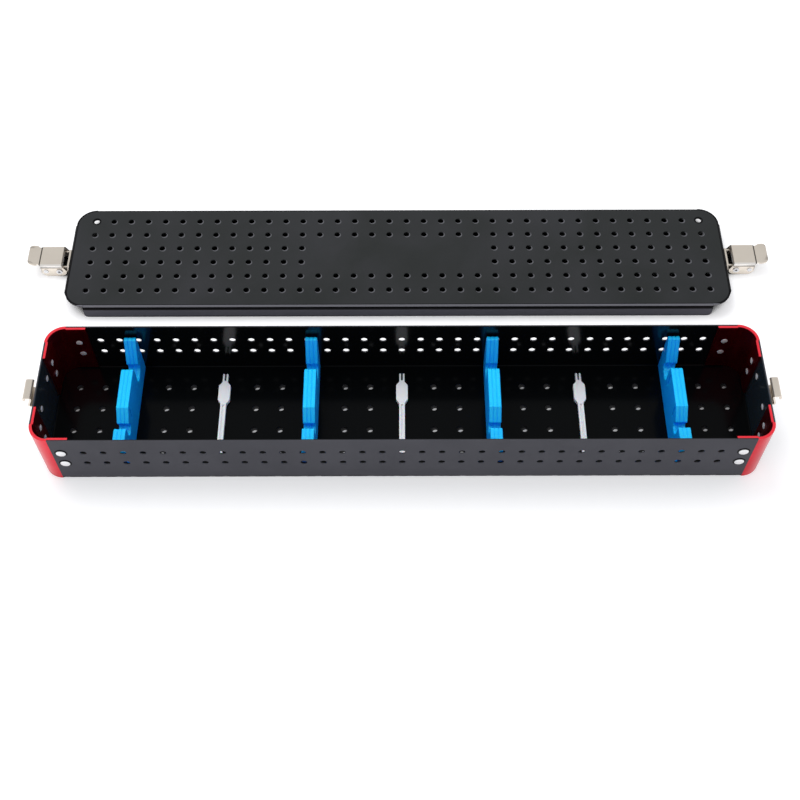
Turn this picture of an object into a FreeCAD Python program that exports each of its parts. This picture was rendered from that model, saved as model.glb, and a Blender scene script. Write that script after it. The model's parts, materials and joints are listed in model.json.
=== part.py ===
import FreeCAD, Part
import math
import os

import Sketcher

# Perforated instrument tray with a lift-off lid, as used to sterilize one long, thin instrument set.
# The tray is one folded sheet closed at its four corners by red corner pieces, with blue silicone
# supports across it, white silicone straps on its floor and a sprung catch on each end wall.
# The lid lies beside the tray, top side up, and carries a latch lever on a hinge at each end.
# The origin is under the middle of the tray, on the surface that it stands on: X runs along the
# tray, Y across it towards the lid and Z up. All sizes are in millimetres.

SIZES = {
    # Tray: outside length, width and height of one folded sheet
    "tray_length": 446.0,
    "tray_width": 83.6,
    "tray_height": 44.6,
    "sheet": 1.0,
    "fold_radius": 1.0,
    "corner_radius": 12.0,
    # Round holes in the two long walls
    "wall_hole": 4.2,
    "wall_pitch": 12.0,
    "wall_columns": 33,
    "wall_low_row": 18.4,
    "row_spacing": 12.0,
    # Round holes in the floor, in pairs of columns, one pair to each bay
    "floor_hole": 4.2,
    "bay_pitch": 57.4,
    "bays": 8,
    "pair_spacing": 16.3,
    "floor_pitch": 16.1,
    "floor_rows": 4,
    # Holes in the floor that take the pegs under the supports and straps
    "peg": 4.0,
    "peg_clearance": 0.1,
    "peg_row": 20.0,
    # Corner pieces: a quarter-round web and two legs inside the walls
    "corner_web": 1.8,
    "corner_leg": 1.4,
    "corner_reach": 12.2,
    "corner_leg_start": 2.4,
    "corner_fit": 0.2,
    # Rivets through the walls and the corner pieces
    "corner_rivet_inset": 5.6,
    "corner_rivet_side": 5.9,
    "rivet_shank": 3.0,
    "rivet_head": 6.3,
    "rivet_crown": 1.1,
    "rivet_tail": 4.5,
    "rivet_tail_depth": 0.8,
    "rivet_clearance": 0.05,
    # Sprung catch on each end wall
    "latch_line": 0.8,
    "catch_sheet": 1.0,
    "catch_base_width": 29.0,
    "catch_base_bottom": 25.0,
    "catch_base_top": 33.0,
    "catch_fold_top": 34.6,
    "catch_width": 14.2,
    "catch_top": 36.0,
    "catch_reach": 10.4,
    "catch_lip_drop": 3.4,
    "catch_spring_drop": 10.0,
    "catch_rivet_spread": 22.2,
    "catch_rivet_height": 30.4,
    "catch_head": 5.0,
    "catch_crown": 0.9,
    # Supports: moulded blocks with two notches that hold an instrument
    "support_thickness": 7.8,
    "support_gap": 0.3,
    "support_front_shoulder": 22.0,
    "support_front_top": 29.6,
    "support_middle_top": 32.2,
    "support_back_shoulder": 24.0,
    "support_back_top": 36.0,
    "front_notch": 21.8,
    "front_notch_floor": 16.5,
    "back_notch": 22.8,
    "back_notch_floor": 12.5,
    "slot_top_width": 1.7,
    "slot_low_width": 0.9,
    "slot_height": 8.4,
    # Straps: flat arrow-headed strips that lie on the floor
    "strap_thickness": 3.0,
    "strap_front": 28.0,
    "strap_stem": 3.6,
    "strap_groove": 1.2,
    "strap_groove_depth": 1.2,
    "strap_head": 7.5,
    "strap_head_start": 12.5,
    "strap_head_end": 26.0,
    "strap_shoulder": 2.5,
    "strap_nub": 3.4,
    "strap_nub_start": 27.3,
    "strap_end": 32.5,
    "strap_split": 0.9,
    # Lid: outside length, width and height, and where it lies at rest
    "lid_length": 452.0,
    "lid_width": 86.4,
    "lid_height": 10.4,
    "lid_sheet": 1.0,
    "lid_fold_radius": 2.0,
    "lid_corner": 14.5,
    "lid_corner_inset": 1.3,
    "lid_flange_round": 3.0,
    "lid_rest_x": -2.5,
    "lid_rest_y": 124.9,
    # Round holes in the lid, with a bare field in the middle
    "lid_hole": 4.0,
    "lid_pitch": 12.06,
    "lid_columns": 36,
    "lid_outer_rows": 2,
    "lid_side_columns": 13,
    "lid_hole_shift": 1.5,
    # Latch bracket on each end of the lid and its hinge axis
    "hinge_reach": 6.8,
    "hinge_height": 5.0,
    "bracket_sheet": 1.2,
    "bracket_width": 14.4,
    "bracket_ear": 2.4,
    "bracket_bottom": 0.6,
    "bracket_top": 8.4,
    "bracket_rivet_spread": 8.0,
    "bracket_shank": 2.0,
    "bracket_head": 3.6,
    "bracket_crown": 0.7,
    # Tubular hinge pin
    "hinge_pin": 3.0,
    "hinge_bore": 1.8,
    "hinge_rim": 4.2,
    "hinge_rim_width": 0.6,
    "hinge_fit": 0.05,
    "hinge_end_play": 0.15,
    # Latch lever: a channel that ends in a bent finger tab
    "lever_width": 17.8,
    "lever_sheet": 1.1,
    "lever_top": 5.6,
    "lever_depth": 4.9,
    "lever_back": 2.1,
    "lever_crease": 13.0,
    "lever_foot": 9.6,
    "lever_bow": 9.0,
    "lever_tab": 7.7,
    "lever_tab_angle": 15.0,
    "lever_tab_width": 16.6,
    "lever_tab_round": 3.0,
    "lever_edge_round": 1.2,
    # Hook pin across the lever
    "hook_reach": 9.2,
    "hook_pin": 2.4,
    "hook_head": 3.4,
    "hook_head_width": 0.4,
    "hook_fit": 0.05,
}

document = FreeCAD.newDocument("sterilization_container")
sheet = document.addObject("Spreadsheet::Sheet", "sizes")
for row, (alias, number) in enumerate(SIZES.items(), start=1):
    sheet.set("A%d" % row, alias)
    sheet.set("B%d" % row, str(number))
    sheet.setAlias("B%d" % row, alias)
document.recompute()

LEFT, RIGHT = -1, 1
FRONT, BACK = -1, 1


class Size:
    """A length together with the expression that ties it to the sheet."""

    def __init__(self, value, text):
        self.value = float(value)
        self.text = text

    def __add__(self, other):
        other = as_size(other)
        return Size(self.value + other.value, "(%s + %s)" % (self.text, other.text))

    def __sub__(self, other):
        other = as_size(other)
        return Size(self.value - other.value, "(%s - %s)" % (self.text, other.text))

    def __mul__(self, other):
        other = as_size(other)
        return Size(self.value * other.value, "(%s * %s)" % (self.text, other.text))

    def __truediv__(self, other):
        other = as_size(other)
        return Size(self.value / other.value, "(%s / %s)" % (self.text, other.text))

    def __neg__(self):
        return Size(-self.value, "(0 - %s)" % self.text)

    __radd__ = __add__
    __rmul__ = __mul__


def as_size(number):
    """Return a plain number as a Size; a Size stays as it is."""
    if isinstance(number, Size):
        return number
    return Size(number, "(%r)" % float(number))


def size(alias):
    """Return the named size from the sheet."""
    return Size(SIZES[alias], "sizes." + alias)


def tangent(angle):
    """Return the tangent of an angle in degrees, as a Size."""
    return Size(math.tan(math.radians(angle.value)), "tan(%s * 1deg)" % angle.text)


def new_body(name, x=0.0, y=0.0, z=0.0):
    """Start one piece, placed at x, y, z."""
    body = document.addObject("PartDesign::Body", name)
    body.Label = name
    body.AllowCompound = True
    for axis, place in zip("xyz", (x, y, z)):
        body.setExpression(".Placement.Base." + axis, as_size(place).text)
    return body


def new_sketch(body, plane, name, at=(0.0, 0.0, 0.0)):
    """Start a sketch on one of the body's origin planes, shifted in the plane's own directions."""
    sketch = body.newObject("Sketcher::SketchObject", body.Name + "_" + name)
    origin_plane = [item for item in body.Origin.OriginFeatures if item.Role == plane][0]
    sketch.AttachmentSupport = [(origin_plane, "")]
    sketch.MapMode = "FlatFace"
    for axis, shift in zip("xyz", at):
        sketch.setExpression(".AttachmentOffset.Base." + axis, as_size(shift).text)
    return sketch


def pin_point(sketch, geometry, point, x, y):
    """Fix a point of the sketch at x, y from its origin."""
    for kind, place in (("DistanceX", as_size(x)), ("DistanceY", as_size(y))):
        rule = sketch.addConstraint(Sketcher.Constraint(kind, -1, 1, geometry, point, place.value))
        sketch.setExpression("Constraints[%d]" % rule, place.text)


def pin_radius(sketch, geometry, radius):
    """Fix the radius of a circle or an arc."""
    rule = sketch.addConstraint(Sketcher.Constraint("Radius", geometry, as_size(radius).value))
    sketch.setExpression("Constraints[%d]" % rule, as_size(radius).text)


def circle(sketch, x, y, diameter):
    """Draw a circle."""
    centre = FreeCAD.Vector(as_size(x).value, as_size(y).value, 0)
    radius = as_size(diameter) / 2
    geometry = sketch.addGeometry(Part.Circle(centre, FreeCAD.Vector(0, 0, 1), radius.value))
    pin_point(sketch, geometry, 3, x, y)
    pin_radius(sketch, geometry, radius)


def arc_between(start, end, radius, turn):
    """Return the shorter arc from start to end, turning left (1) or right (-1)."""
    chord = end - start
    across = FreeCAD.Vector(-chord.y, chord.x, 0).normalize()
    rise = math.sqrt(max(radius ** 2 - chord.Length ** 2 / 4, 0.0))
    centre = (start + end) / 2 + across * (turn * rise)
    first, last = (start, end) if turn > 0 else (end, start)
    angles = [math.atan2(tip.y - centre.y, tip.x - centre.x) for tip in (first, last)]
    ring = Part.Circle(centre, FreeCAD.Vector(0, 0, 1), radius)
    return Part.ArcOfCircle(ring, angles[0], angles[1])


def outline(sketch, corners):
    """Draw a closed outline.

    A corner is (x, y), with a straight run to the next corner, or (x, y, radius, turn), with an
    arc of that radius to the next corner that turns left (1) or right (-1).
    """
    tips = [FreeCAD.Vector(as_size(c[0]).value, as_size(c[1]).value, 0) for c in corners]
    runs = []
    for index, corner in enumerate(corners):
        start, end = tips[index], tips[(index + 1) % len(tips)]
        if len(corner) == 2:
            runs.append((sketch.addGeometry(Part.LineSegment(start, end)), 1, 2))
        else:
            radius, turn = as_size(corner[2]), corner[3]
            geometry = sketch.addGeometry(arc_between(start, end, radius.value, turn))
            runs.append((geometry, 1, 2) if turn > 0 else (geometry, 2, 1))
    for index, corner in enumerate(corners):
        geometry, head, tail = runs[index]
        following = runs[(index + 1) % len(runs)]
        joint = Sketcher.Constraint("Coincident", geometry, tail, following[0], following[1])
        sketch.addConstraint(joint)
        pin_point(sketch, geometry, head, corner[0], corner[1])
        if len(corner) > 2:
            pin_radius(sketch, geometry, corner[2])


def rectangle(sketch, x_low, y_low, x_high, y_high):
    """Draw a rectangle from its low corner to its high corner."""
    outline(sketch, [(x_low, y_low), (x_high, y_low), (x_high, y_high), (x_low, y_high)])


def pad(body, sketch, length, side="Symmetric"):
    """Add the sketch's outline, to both sides of its plane or to one."""
    feature = body.newObject("PartDesign::Pad", sketch.Name + "_pad")
    feature.Profile = sketch
    feature.SideType = side
    feature.setExpression("Length", as_size(length).text)
    body.Tip = feature
    return feature


def cut_through(body, sketch):
    """Cut the sketch's outline through the whole body, to both sides of its plane."""
    feature = body.newObject("PartDesign::Pocket", sketch.Name + "_cut")
    feature.Profile = sketch
    feature.Type = "ThroughAll"
    feature.SideType = "Symmetric"
    body.Tip = feature
    return feature


def cut_width(body, sketch, width):
    """Cut the sketch's outline over a width centred on its plane."""
    feature = body.newObject("PartDesign::Pocket", sketch.Name + "_cut")
    feature.Profile = sketch
    feature.SideType = "Symmetric"
    feature.setExpression("Length", as_size(width).text)
    body.Tip = feature
    return feature


def revolve(body, sketch, axis):
    """Turn the sketch's outline about one of its own axes."""
    feature = body.newObject("PartDesign::Revolution", sketch.Name + "_turn")
    feature.Profile = sketch
    feature.ReferenceAxis = (sketch, [axis])
    feature.Angle = 360.0
    body.Tip = feature
    return feature


def repeat(body, feature, *runs):
    """Repeat a feature in rows; each run is (axis of its sketch, number, spacing)."""
    sketch = feature.Profile[0]
    pattern = body.newObject("PartDesign::MultiTransform", feature.Name + "_rows")
    pattern.Originals = [feature]
    steps = []
    for axis, number, spacing in runs:
        step = body.newObject("PartDesign::LinearPattern", pattern.Name + "_" + axis[0].lower())
        step.Direction = (sketch, [axis])
        number, spacing = as_size(number), as_size(spacing)
        step.setExpression("Length", ((number - 1) * spacing).text)
        step.setExpression("Occurrences", number.text)
        steps.append(step)
    pattern.Transformations = steps
    body.Tip = pattern
    return pattern


def edges_along(feature, direction, spots):
    """Name the edges of a feature that run along a direction through the given spots."""
    names = []
    for number, edge in enumerate(feature.Shape.Edges, start=1):
        if len(edge.Vertexes) != 2:
            continue
        start, end = [vertex.Point for vertex in edge.Vertexes]
        if abs((end - start).normalize().dot(direction)) < 0.999:
            continue
        for spot in spots:
            offset = start - spot
            if (offset - direction * offset.dot(direction)).Length < 0.01:
                names.append("Edge%d" % number)
                break
    return names


def dress(body, kind, feature, edges, amount):
    """Round or bevel edges of the last feature."""
    trim = body.newObject("PartDesign::" + kind, body.Name + "_" + kind.lower())
    trim.Base = (feature, edges)
    trim.setExpression("Radius" if kind == "Fillet" else "Size", as_size(amount).text)
    body.Tip = trim
    return trim


def bent_rounds(body, feature, amount, spots):
    """Round the corners of a strip that is folded about Y; a spot is its (x, z)."""
    document.recompute()
    points = [FreeCAD.Vector(as_size(x).value, 0, as_size(z).value) for x, z in spots]
    edges = edges_along(feature, FreeCAD.Vector(0, 1, 0), points)
    return dress(body, "Fillet", feature, edges, amount)


def channel_section(sketch, half, height, sheet_size, radius, upward):
    """Draw a folded sheet's section: a web of the given half width with two flanges."""
    outer = radius + sheet_size
    base, inner = (as_size(0), sheet_size) if upward else (height, height - sheet_size)
    tip = height if upward else as_size(0)
    bend_out = base + outer * upward_sign(upward)
    bend_in = bend_out
    turn = 1 if upward else -1
    outline(sketch, [
        (-half, tip),
        (-half, bend_out, outer, turn),
        (-half + outer, base),
        (half - outer, base, outer, turn),
        (half, bend_out),
        (half, tip),
        (half - sheet_size, tip),
        (half - sheet_size, bend_in, radius, -turn),
        (half - outer, inner),
        (-half + outer, inner, radius, -turn),
        (-half + sheet_size, bend_in),
        (-half + sheet_size, tip),
    ])


def upward_sign(upward):
    """Return 1 for flanges that stand up and -1 for flanges that hang down."""
    return 1 if upward else -1


def rivet(body, name, axis, outward, at, grip, shank, head, crown, tail, tail_depth):
    """Turn one rivet; at is the middle of its head's seat and axis is V (along Y) or H (along X)."""
    sketch = new_sketch(body, "XY_Plane", name, at)
    profile = [
        (crown, 0),
        (crown, head * 0.2),
        (crown * 0.6, head * 0.4),
        (0, head / 2),
        (0, shank / 2),
        (-grip, shank / 2),
        (-grip, tail / 2),
        (-(grip + tail_depth), tail / 2 - tail_depth / 2),
        (-(grip + tail_depth), 0),
    ]
    corners = []
    for spot in profile:
        along, across = as_size(spot[0]) * outward, as_size(spot[1])
        corners.append((across, along) if axis == "V" else (along, across))
    outline(sketch, corners)
    return revolve(body, sketch, axis + "_Axis")


half_length = size("tray_length") / 2
half_width = size("tray_width") / 2
tray_height = size("tray_height")
wall = size("sheet")
corner_radius = size("corner_radius")
tangent_x = half_length - corner_radius
tangent_y = half_width - corner_radius
rivet_hole = size("rivet_shank") + size("rivet_clearance") * 2
corner_rivet_x = tangent_x - size("corner_rivet_inset")
corner_rivet_y = tangent_y - size("corner_rivet_side")
low_row = size("wall_low_row")
row_spacing = size("row_spacing")
latch_line = size("latch_line")
peg_hole = size("peg") + size("peg_clearance") * 2
catch_rivet_y = size("catch_rivet_spread") / 2
bay = size("bay_pitch")


def make_tray_shell():
    """Fold the tray's floor and four walls from one sheet and perforate it."""
    body = new_body("tray_shell")
    long_walls = new_sketch(body, "YZ_Plane", "long_walls")
    channel_section(long_walls, half_width, tray_height, wall, size("fold_radius"), True)
    pad(body, long_walls, tangent_x * 2)
    end_walls = new_sketch(body, "XZ_Plane", "end_walls")
    channel_section(end_walls, half_length, tray_height, wall, size("fold_radius"), True)
    pad(body, end_walls, tangent_y * 2)
    floor_corners = new_sketch(body, "XY_Plane", "floor_corners")
    reach = corner_radius - size("corner_web") - size("corner_fit")
    for side, end in ((RIGHT, BACK), (LEFT, BACK), (LEFT, FRONT), (RIGHT, FRONT)):
        outline(floor_corners, [
            (tangent_x * side, tangent_y * end),
            ((tangent_x + reach) * side, tangent_y * end, reach, side * end),
            (tangent_x * side, (tangent_y + reach) * end),
        ])
    pad(body, floor_corners, wall, "One side")

    wall_holes = new_sketch(body, "XZ_Plane", "wall_holes")
    columns, pitch = size("wall_columns"), size("wall_pitch")
    circle(wall_holes, -(columns - 1) * pitch / 2, low_row, size("wall_hole"))
    repeat(body, cut_through(body, wall_holes), ("H_Axis", columns, pitch), ("V_Axis", 2, row_spacing))

    floor_holes = new_sketch(body, "XY_Plane", "floor_holes")
    first_bay = -(size("bays") - 1) * bay / 2
    first_row = -(size("floor_rows") - 1) * size("floor_pitch") / 2
    for side in (LEFT, RIGHT):
        circle(floor_holes, first_bay + size("pair_spacing") / 2 * side, first_row, size("floor_hole"))
    repeat(body, cut_through(body, floor_holes), ("H_Axis", size("bays"), bay),
           ("V_Axis", size("floor_rows"), size("floor_pitch")))

    peg_holes = new_sketch(body, "XY_Plane", "peg_holes")
    circle(peg_holes, -(size("bays") / 2 - 1) * bay, -size("peg_row"), peg_hole)
    repeat(body, cut_through(body, peg_holes), ("H_Axis", size("bays") - 1, bay),
           ("V_Axis", 2, size("peg_row") * 2))

    long_rivets = new_sketch(body, "XZ_Plane", "long_rivets")
    circle(long_rivets, -corner_rivet_x, low_row, rivet_hole)
    repeat(body, cut_through(body, long_rivets), ("H_Axis", 2, corner_rivet_x * 2),
           ("V_Axis", 2, row_spacing))
    end_rivets = new_sketch(body, "YZ_Plane", "end_rivets")
    circle(end_rivets, -corner_rivet_y, low_row, rivet_hole)
    repeat(body, cut_through(body, end_rivets), ("H_Axis", 2, corner_rivet_y * 2),
           ("V_Axis", 2, row_spacing))
    catch_rivets = new_sketch(body, "YZ_Plane", "catch_rivets")
    for end in (FRONT, BACK):
        circle(catch_rivets, latch_line + catch_rivet_y * end, size("catch_rivet_height"), rivet_hole)
    cut_through(body, catch_rivets)
    return body


def make_corner(name, side, end):
    """Make one corner piece: a quarter-round web with two legs riveted inside the walls."""
    body = new_body(name)
    web, leg, reach = size("corner_web"), size("corner_leg"), size("corner_reach")
    inner = corner_radius - web
    turn = side * end
    web_sketch = new_sketch(body, "XY_Plane", "web")
    outline(web_sketch, [
        ((tangent_x + corner_radius) * side, tangent_y * end, corner_radius, turn),
        (tangent_x * side, (tangent_y + corner_radius) * end),
        (tangent_x * side, (tangent_y + inner) * end, inner, -turn),
        ((tangent_x + inner) * side, tangent_y * end),
    ])
    pad(body, web_sketch, tray_height, "One side")
    leg_start = size("corner_leg_start")
    legs = new_sketch(body, "XY_Plane", "legs", (0, 0, leg_start))
    outer_y, inner_y = half_width - wall, half_width - wall - leg
    outer_x, inner_x = half_length - wall, half_length - wall - leg
    outline(legs, [
        (tangent_x * side, outer_y * end),
        ((tangent_x - reach) * side, outer_y * end),
        ((tangent_x - reach) * side, inner_y * end),
        (tangent_x * side, inner_y * end),
    ])
    outline(legs, [
        (outer_x * side, tangent_y * end),
        (outer_x * side, (tangent_y - reach) * end),
        (inner_x * side, (tangent_y - reach) * end),
        (inner_x * side, tangent_y * end),
    ])
    pad(body, legs, tray_height - leg_start, "One side")
    long_holes = new_sketch(body, "XZ_Plane", "long_holes")
    end_holes = new_sketch(body, "YZ_Plane", "end_holes")
    for row in (low_row, low_row + row_spacing):
        circle(long_holes, corner_rivet_x * side, row, rivet_hole)
        circle(end_holes, corner_rivet_y * end, row, rivet_hole)
    cut_through(body, long_holes)
    cut_through(body, end_holes)
    return body


def make_corner_rivets(name, side, end):
    """Make the four rivets of one corner piece: two in the long wall, two in the end wall."""
    body = new_body(name)
    grip = wall + size("corner_leg")
    forms = [size(alias) for alias in
             ("rivet_shank", "rivet_head", "rivet_crown", "rivet_tail", "rivet_tail_depth")]
    at_long = (corner_rivet_x * side, half_width * end, low_row)
    long_rivet = rivet(body, "long", "V", end, at_long, grip, *forms)
    repeat(body, long_rivet, ("N_Axis", 2, row_spacing))
    at_end = (half_length * side, corner_rivet_y * end, low_row)
    end_rivet = rivet(body, "end", "H", side, at_end, grip, *forms)
    repeat(body, end_rivet, ("N_Axis", 2, row_spacing))
    return body


def make_catch(name, side):
    """Bend one sprung catch from a strip: base plate, two leaves, shelf and lip."""
    body = new_body(name, 0, latch_line, 0)
    face = half_length
    strip = size("catch_sheet")
    top = size("catch_top")
    reach = size("catch_reach")
    fold_top = size("catch_fold_top")
    low = top - size("catch_spring_drop")
    base = new_sketch(body, "XZ_Plane", "base")
    outline(base, [
        (face * side, size("catch_base_bottom")),
        ((face + strip) * side, size("catch_base_bottom")),
        ((face + strip) * side, size("catch_base_top")),
        (face * side, size("catch_base_top")),
    ])
    pad(body, base, size("catch_base_width"))
    # The leaves lean by these shares of their height: the first outwards, the second inwards.
    first_lean, second_lean = 0.276, 0.4
    first_slant, second_slant = strip * 1.04, strip * 1.077
    first_out = strip * 3.4
    height = fold_top - low
    bottom_out = first_out + height * first_lean
    second_in = bottom_out + strip * 2.1
    inner_low = low + strip
    corners = {
        "root_inside": (0, size("catch_base_bottom") + strip),
        "fold_back": (0, fold_top),
        "fold_front": (first_out, fold_top),
        "bend_inner_first": (first_out + (fold_top - inner_low) * first_lean, inner_low),
        "bend_inner_second": (second_in, inner_low),
        "shelf_back": (second_in - (top - inner_low) * second_lean, top),
        "shelf_front": (reach, top),
        "lip_front": (reach, top - size("catch_lip_drop")),
        "lip_back": (reach - strip, top - size("catch_lip_drop")),
        "lip_root": (reach - strip, top - strip),
        "leaf_root": (second_in + second_slant - (top - strip - inner_low) * second_lean, top - strip),
        "bend_outer_second": (second_in + second_slant + strip * second_lean, low),
        "bend_outer_first": (bottom_out - first_slant, low),
        "fold_inner_front": (first_out - first_slant + strip * first_lean, fold_top - strip),
        "fold_inner_back": (strip, fold_top - strip),
        "root_outside": (strip, size("catch_base_bottom") + strip),
    }
    places = {key: (face * side + as_size(x) * side, as_size(z)) for key, (x, z) in corners.items()}
    tongue = new_sketch(body, "XZ_Plane", "tongue")
    outline(tongue, list(places.values()))
    feature = pad(body, tongue, size("catch_width"))
    inner_bends = ["lip_root", "leaf_root", "fold_inner_front", "fold_inner_back"]
    feature = bent_rounds(body, feature, strip * 0.4, [places[key] for key in inner_bends])
    outer_bends = ["shelf_front", "shelf_back", "fold_front", "fold_back"]
    feature = bent_rounds(body, feature, strip * 1.4, [places[key] for key in outer_bends])
    cups = ["bend_inner_first", "bend_inner_second"]
    feature = bent_rounds(body, feature, strip, [places[key] for key in cups])
    shells = ["bend_outer_first", "bend_outer_second"]
    bent_rounds(body, feature, strip * 1.9, [places[key] for key in shells])
    holes = new_sketch(body, "YZ_Plane", "holes")
    for end in (FRONT, BACK):
        circle(holes, catch_rivet_y * end, size("catch_rivet_height"), rivet_hole)
    cut_through(body, holes)
    return body


def make_catch_rivets(name, side):
    """Make the two rivets that hold one catch on its end wall."""
    body = new_body(name)
    strip = size("catch_sheet")
    for end, label in ((FRONT, "front"), (BACK, "back")):
        at = ((half_length + strip) * side, latch_line + catch_rivet_y * end,
              size("catch_rivet_height"))
        rivet(body, label, "H", side, at, strip + wall, size("rivet_shank"), size("catch_head"),
              size("catch_crown"), size("rivet_tail"), size("rivet_tail_depth"))
    return body


def teardrop(sketch, foot_y, foot_z, head_y, head_z):
    """Draw a slot that is narrow at its foot and wider at its head, with round ends."""
    foot, head = size("slot_low_width") / 2, size("slot_top_width") / 2
    outline(sketch, [
        (foot_y - foot, foot_z, foot * 1.05, 1),
        (foot_y + foot, foot_z),
        (head_y + head, head_z, head * 1.05, 1),
        (head_y - head, head_z),
    ])


def make_support(name, station):
    """Mould one support: a block with two open notches, held by two pegs through the floor."""
    body = new_body(name, bay * station, 0, wall)
    half = half_width - wall - size("support_gap")
    toe = size("fold_radius") * 1.5
    front_top = size("support_front_top") - wall
    middle_top = size("support_middle_top") - wall
    back_top = size("support_back_top") - wall
    front_floor = size("front_notch_floor") - wall
    back_floor = size("back_notch_floor") - wall
    front, back = -size("front_notch"), size("back_notch")
    profile = new_sketch(body, "YZ_Plane", "profile")
    outline(profile, [
        (-half + toe, 0),
        (half - toe, 0),
        (half, toe),
        (half, size("support_back_shoulder") - wall),
        (half - 1.2, back_top),
        (half - 3.3, back_top),
        (back + 6.1, back_floor + 8.2, 1.2, 1),
        (back + 7.2, back_floor + 6.8),
        (back + 7.7, back_floor + 4.0, 4.2, -1),
        (back + 1.7, back_floor, 4.6, -1),
        (back - 3.3, back_floor + 3.5),
        (back - 3.6, middle_top - 5.2, 4.5, 1),
        (back - 6.3, middle_top),
        (front + 11.8, middle_top - 1.0),
        (front + 4.2, front_floor + 7.7, 1.6, 1),
        (front + 5.6, front_floor + 5.6),
        (front + 6.6, front_floor + 4.0, 3.6, -1),
        (front + 1.8, front_floor, 4.6, -1),
        (front - 1.5, front_floor + 4.5),
        (front - 2.1, front_top),
        (-half + 7.5, front_top),
        (-half + 4.5, front_top - 1.6),
        (-half, size("support_front_shoulder") - wall),
        (-half, toe),
    ])
    pad(body, profile, size("support_thickness"))
    slots = new_sketch(body, "YZ_Plane", "slots")
    rise = size("slot_height")
    # Each slot stands beside a notch and leans a little with the face that it makes soft.
    for foot_y, foot_z, lean in ((back + 10.2, back_floor + 6.5, 2.2),
                                 (back - 9.8, middle_top - 12.4, 1.3),
                                 (front + 12.0, middle_top - 13.2, 1.0)):
        teardrop(slots, foot_y, foot_z, foot_y + lean, foot_z + rise)
    cut_through(body, slots)
    pegs = new_sketch(body, "XY_Plane", "pegs", (0, 0, -wall))
    for end in (FRONT, BACK):
        circle(pegs, 0, size("peg_row") * end, size("peg"))
    pad(body, pegs, wall, "One side")
    return body


def make_strap(name, station):
    """Mould one strap: a grooved stem with an arrow head and a split nub."""
    body = new_body(name, bay * station, 0, wall)
    stem, head, nub = size("strap_stem") / 2, size("strap_head") / 2, size("strap_nub") / 2
    shoulder = size("strap_shoulder")
    start, end = size("strap_head_start"), size("strap_head_end")
    nub_start, tip = size("strap_nub_start"), size("strap_end")
    front = -size("strap_front")
    right_side = [
        (stem, front),
        (stem, start - shoulder),
        (head, start),
        (head, end - shoulder),
        (nub, end),
        (nub, nub_start),
        (nub, tip),
    ]
    left_side = [(-x, y) for x, y in reversed(right_side)]
    shape = new_sketch(body, "XY_Plane", "shape")
    outline(shape, [spot for spot in right_side + left_side if spot[1] is not nub_start])
    pad(body, shape, size("strap_thickness"), "One side")
    groove = new_sketch(body, "XZ_Plane", "groove", (0, 0, (size("strap_front") - start + shoulder) / 2))
    top = size("strap_thickness")
    rectangle(groove, -size("strap_groove") / 2, top - size("strap_groove_depth"),
              size("strap_groove") / 2, top)
    cut_width(body, groove, size("strap_front") + start - shoulder)
    split = new_sketch(body, "XY_Plane", "split")
    rectangle(split, -size("strap_split") / 2, nub_start, size("strap_split") / 2, tip)
    cut_through(body, split)
    pegs = new_sketch(body, "XY_Plane", "pegs", (0, 0, -wall))
    for side in (FRONT, BACK):
        circle(pegs, 0, size("peg_row") * side, size("peg"))
    pad(body, pegs, wall, "One side")
    return body


lid_x, lid_y = size("lid_rest_x"), size("lid_rest_y")
lid_half_length = size("lid_length") / 2
lid_half_width = size("lid_width") / 2
lid_height = size("lid_height")
lid_sheet = size("lid_sheet")
lid_run_x = lid_half_length - size("lid_corner")
lid_run_y = lid_half_width - size("lid_corner")
hinge_x = lid_half_length + size("hinge_reach")
latch_y = lid_y + latch_line
bracket_hole = size("bracket_shank") + size("rivet_clearance") * 2
bracket_rivet_y = size("bracket_rivet_spread") / 2
bracket_rivet_z = (size("bracket_bottom") + size("bracket_top")) / 2


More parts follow.
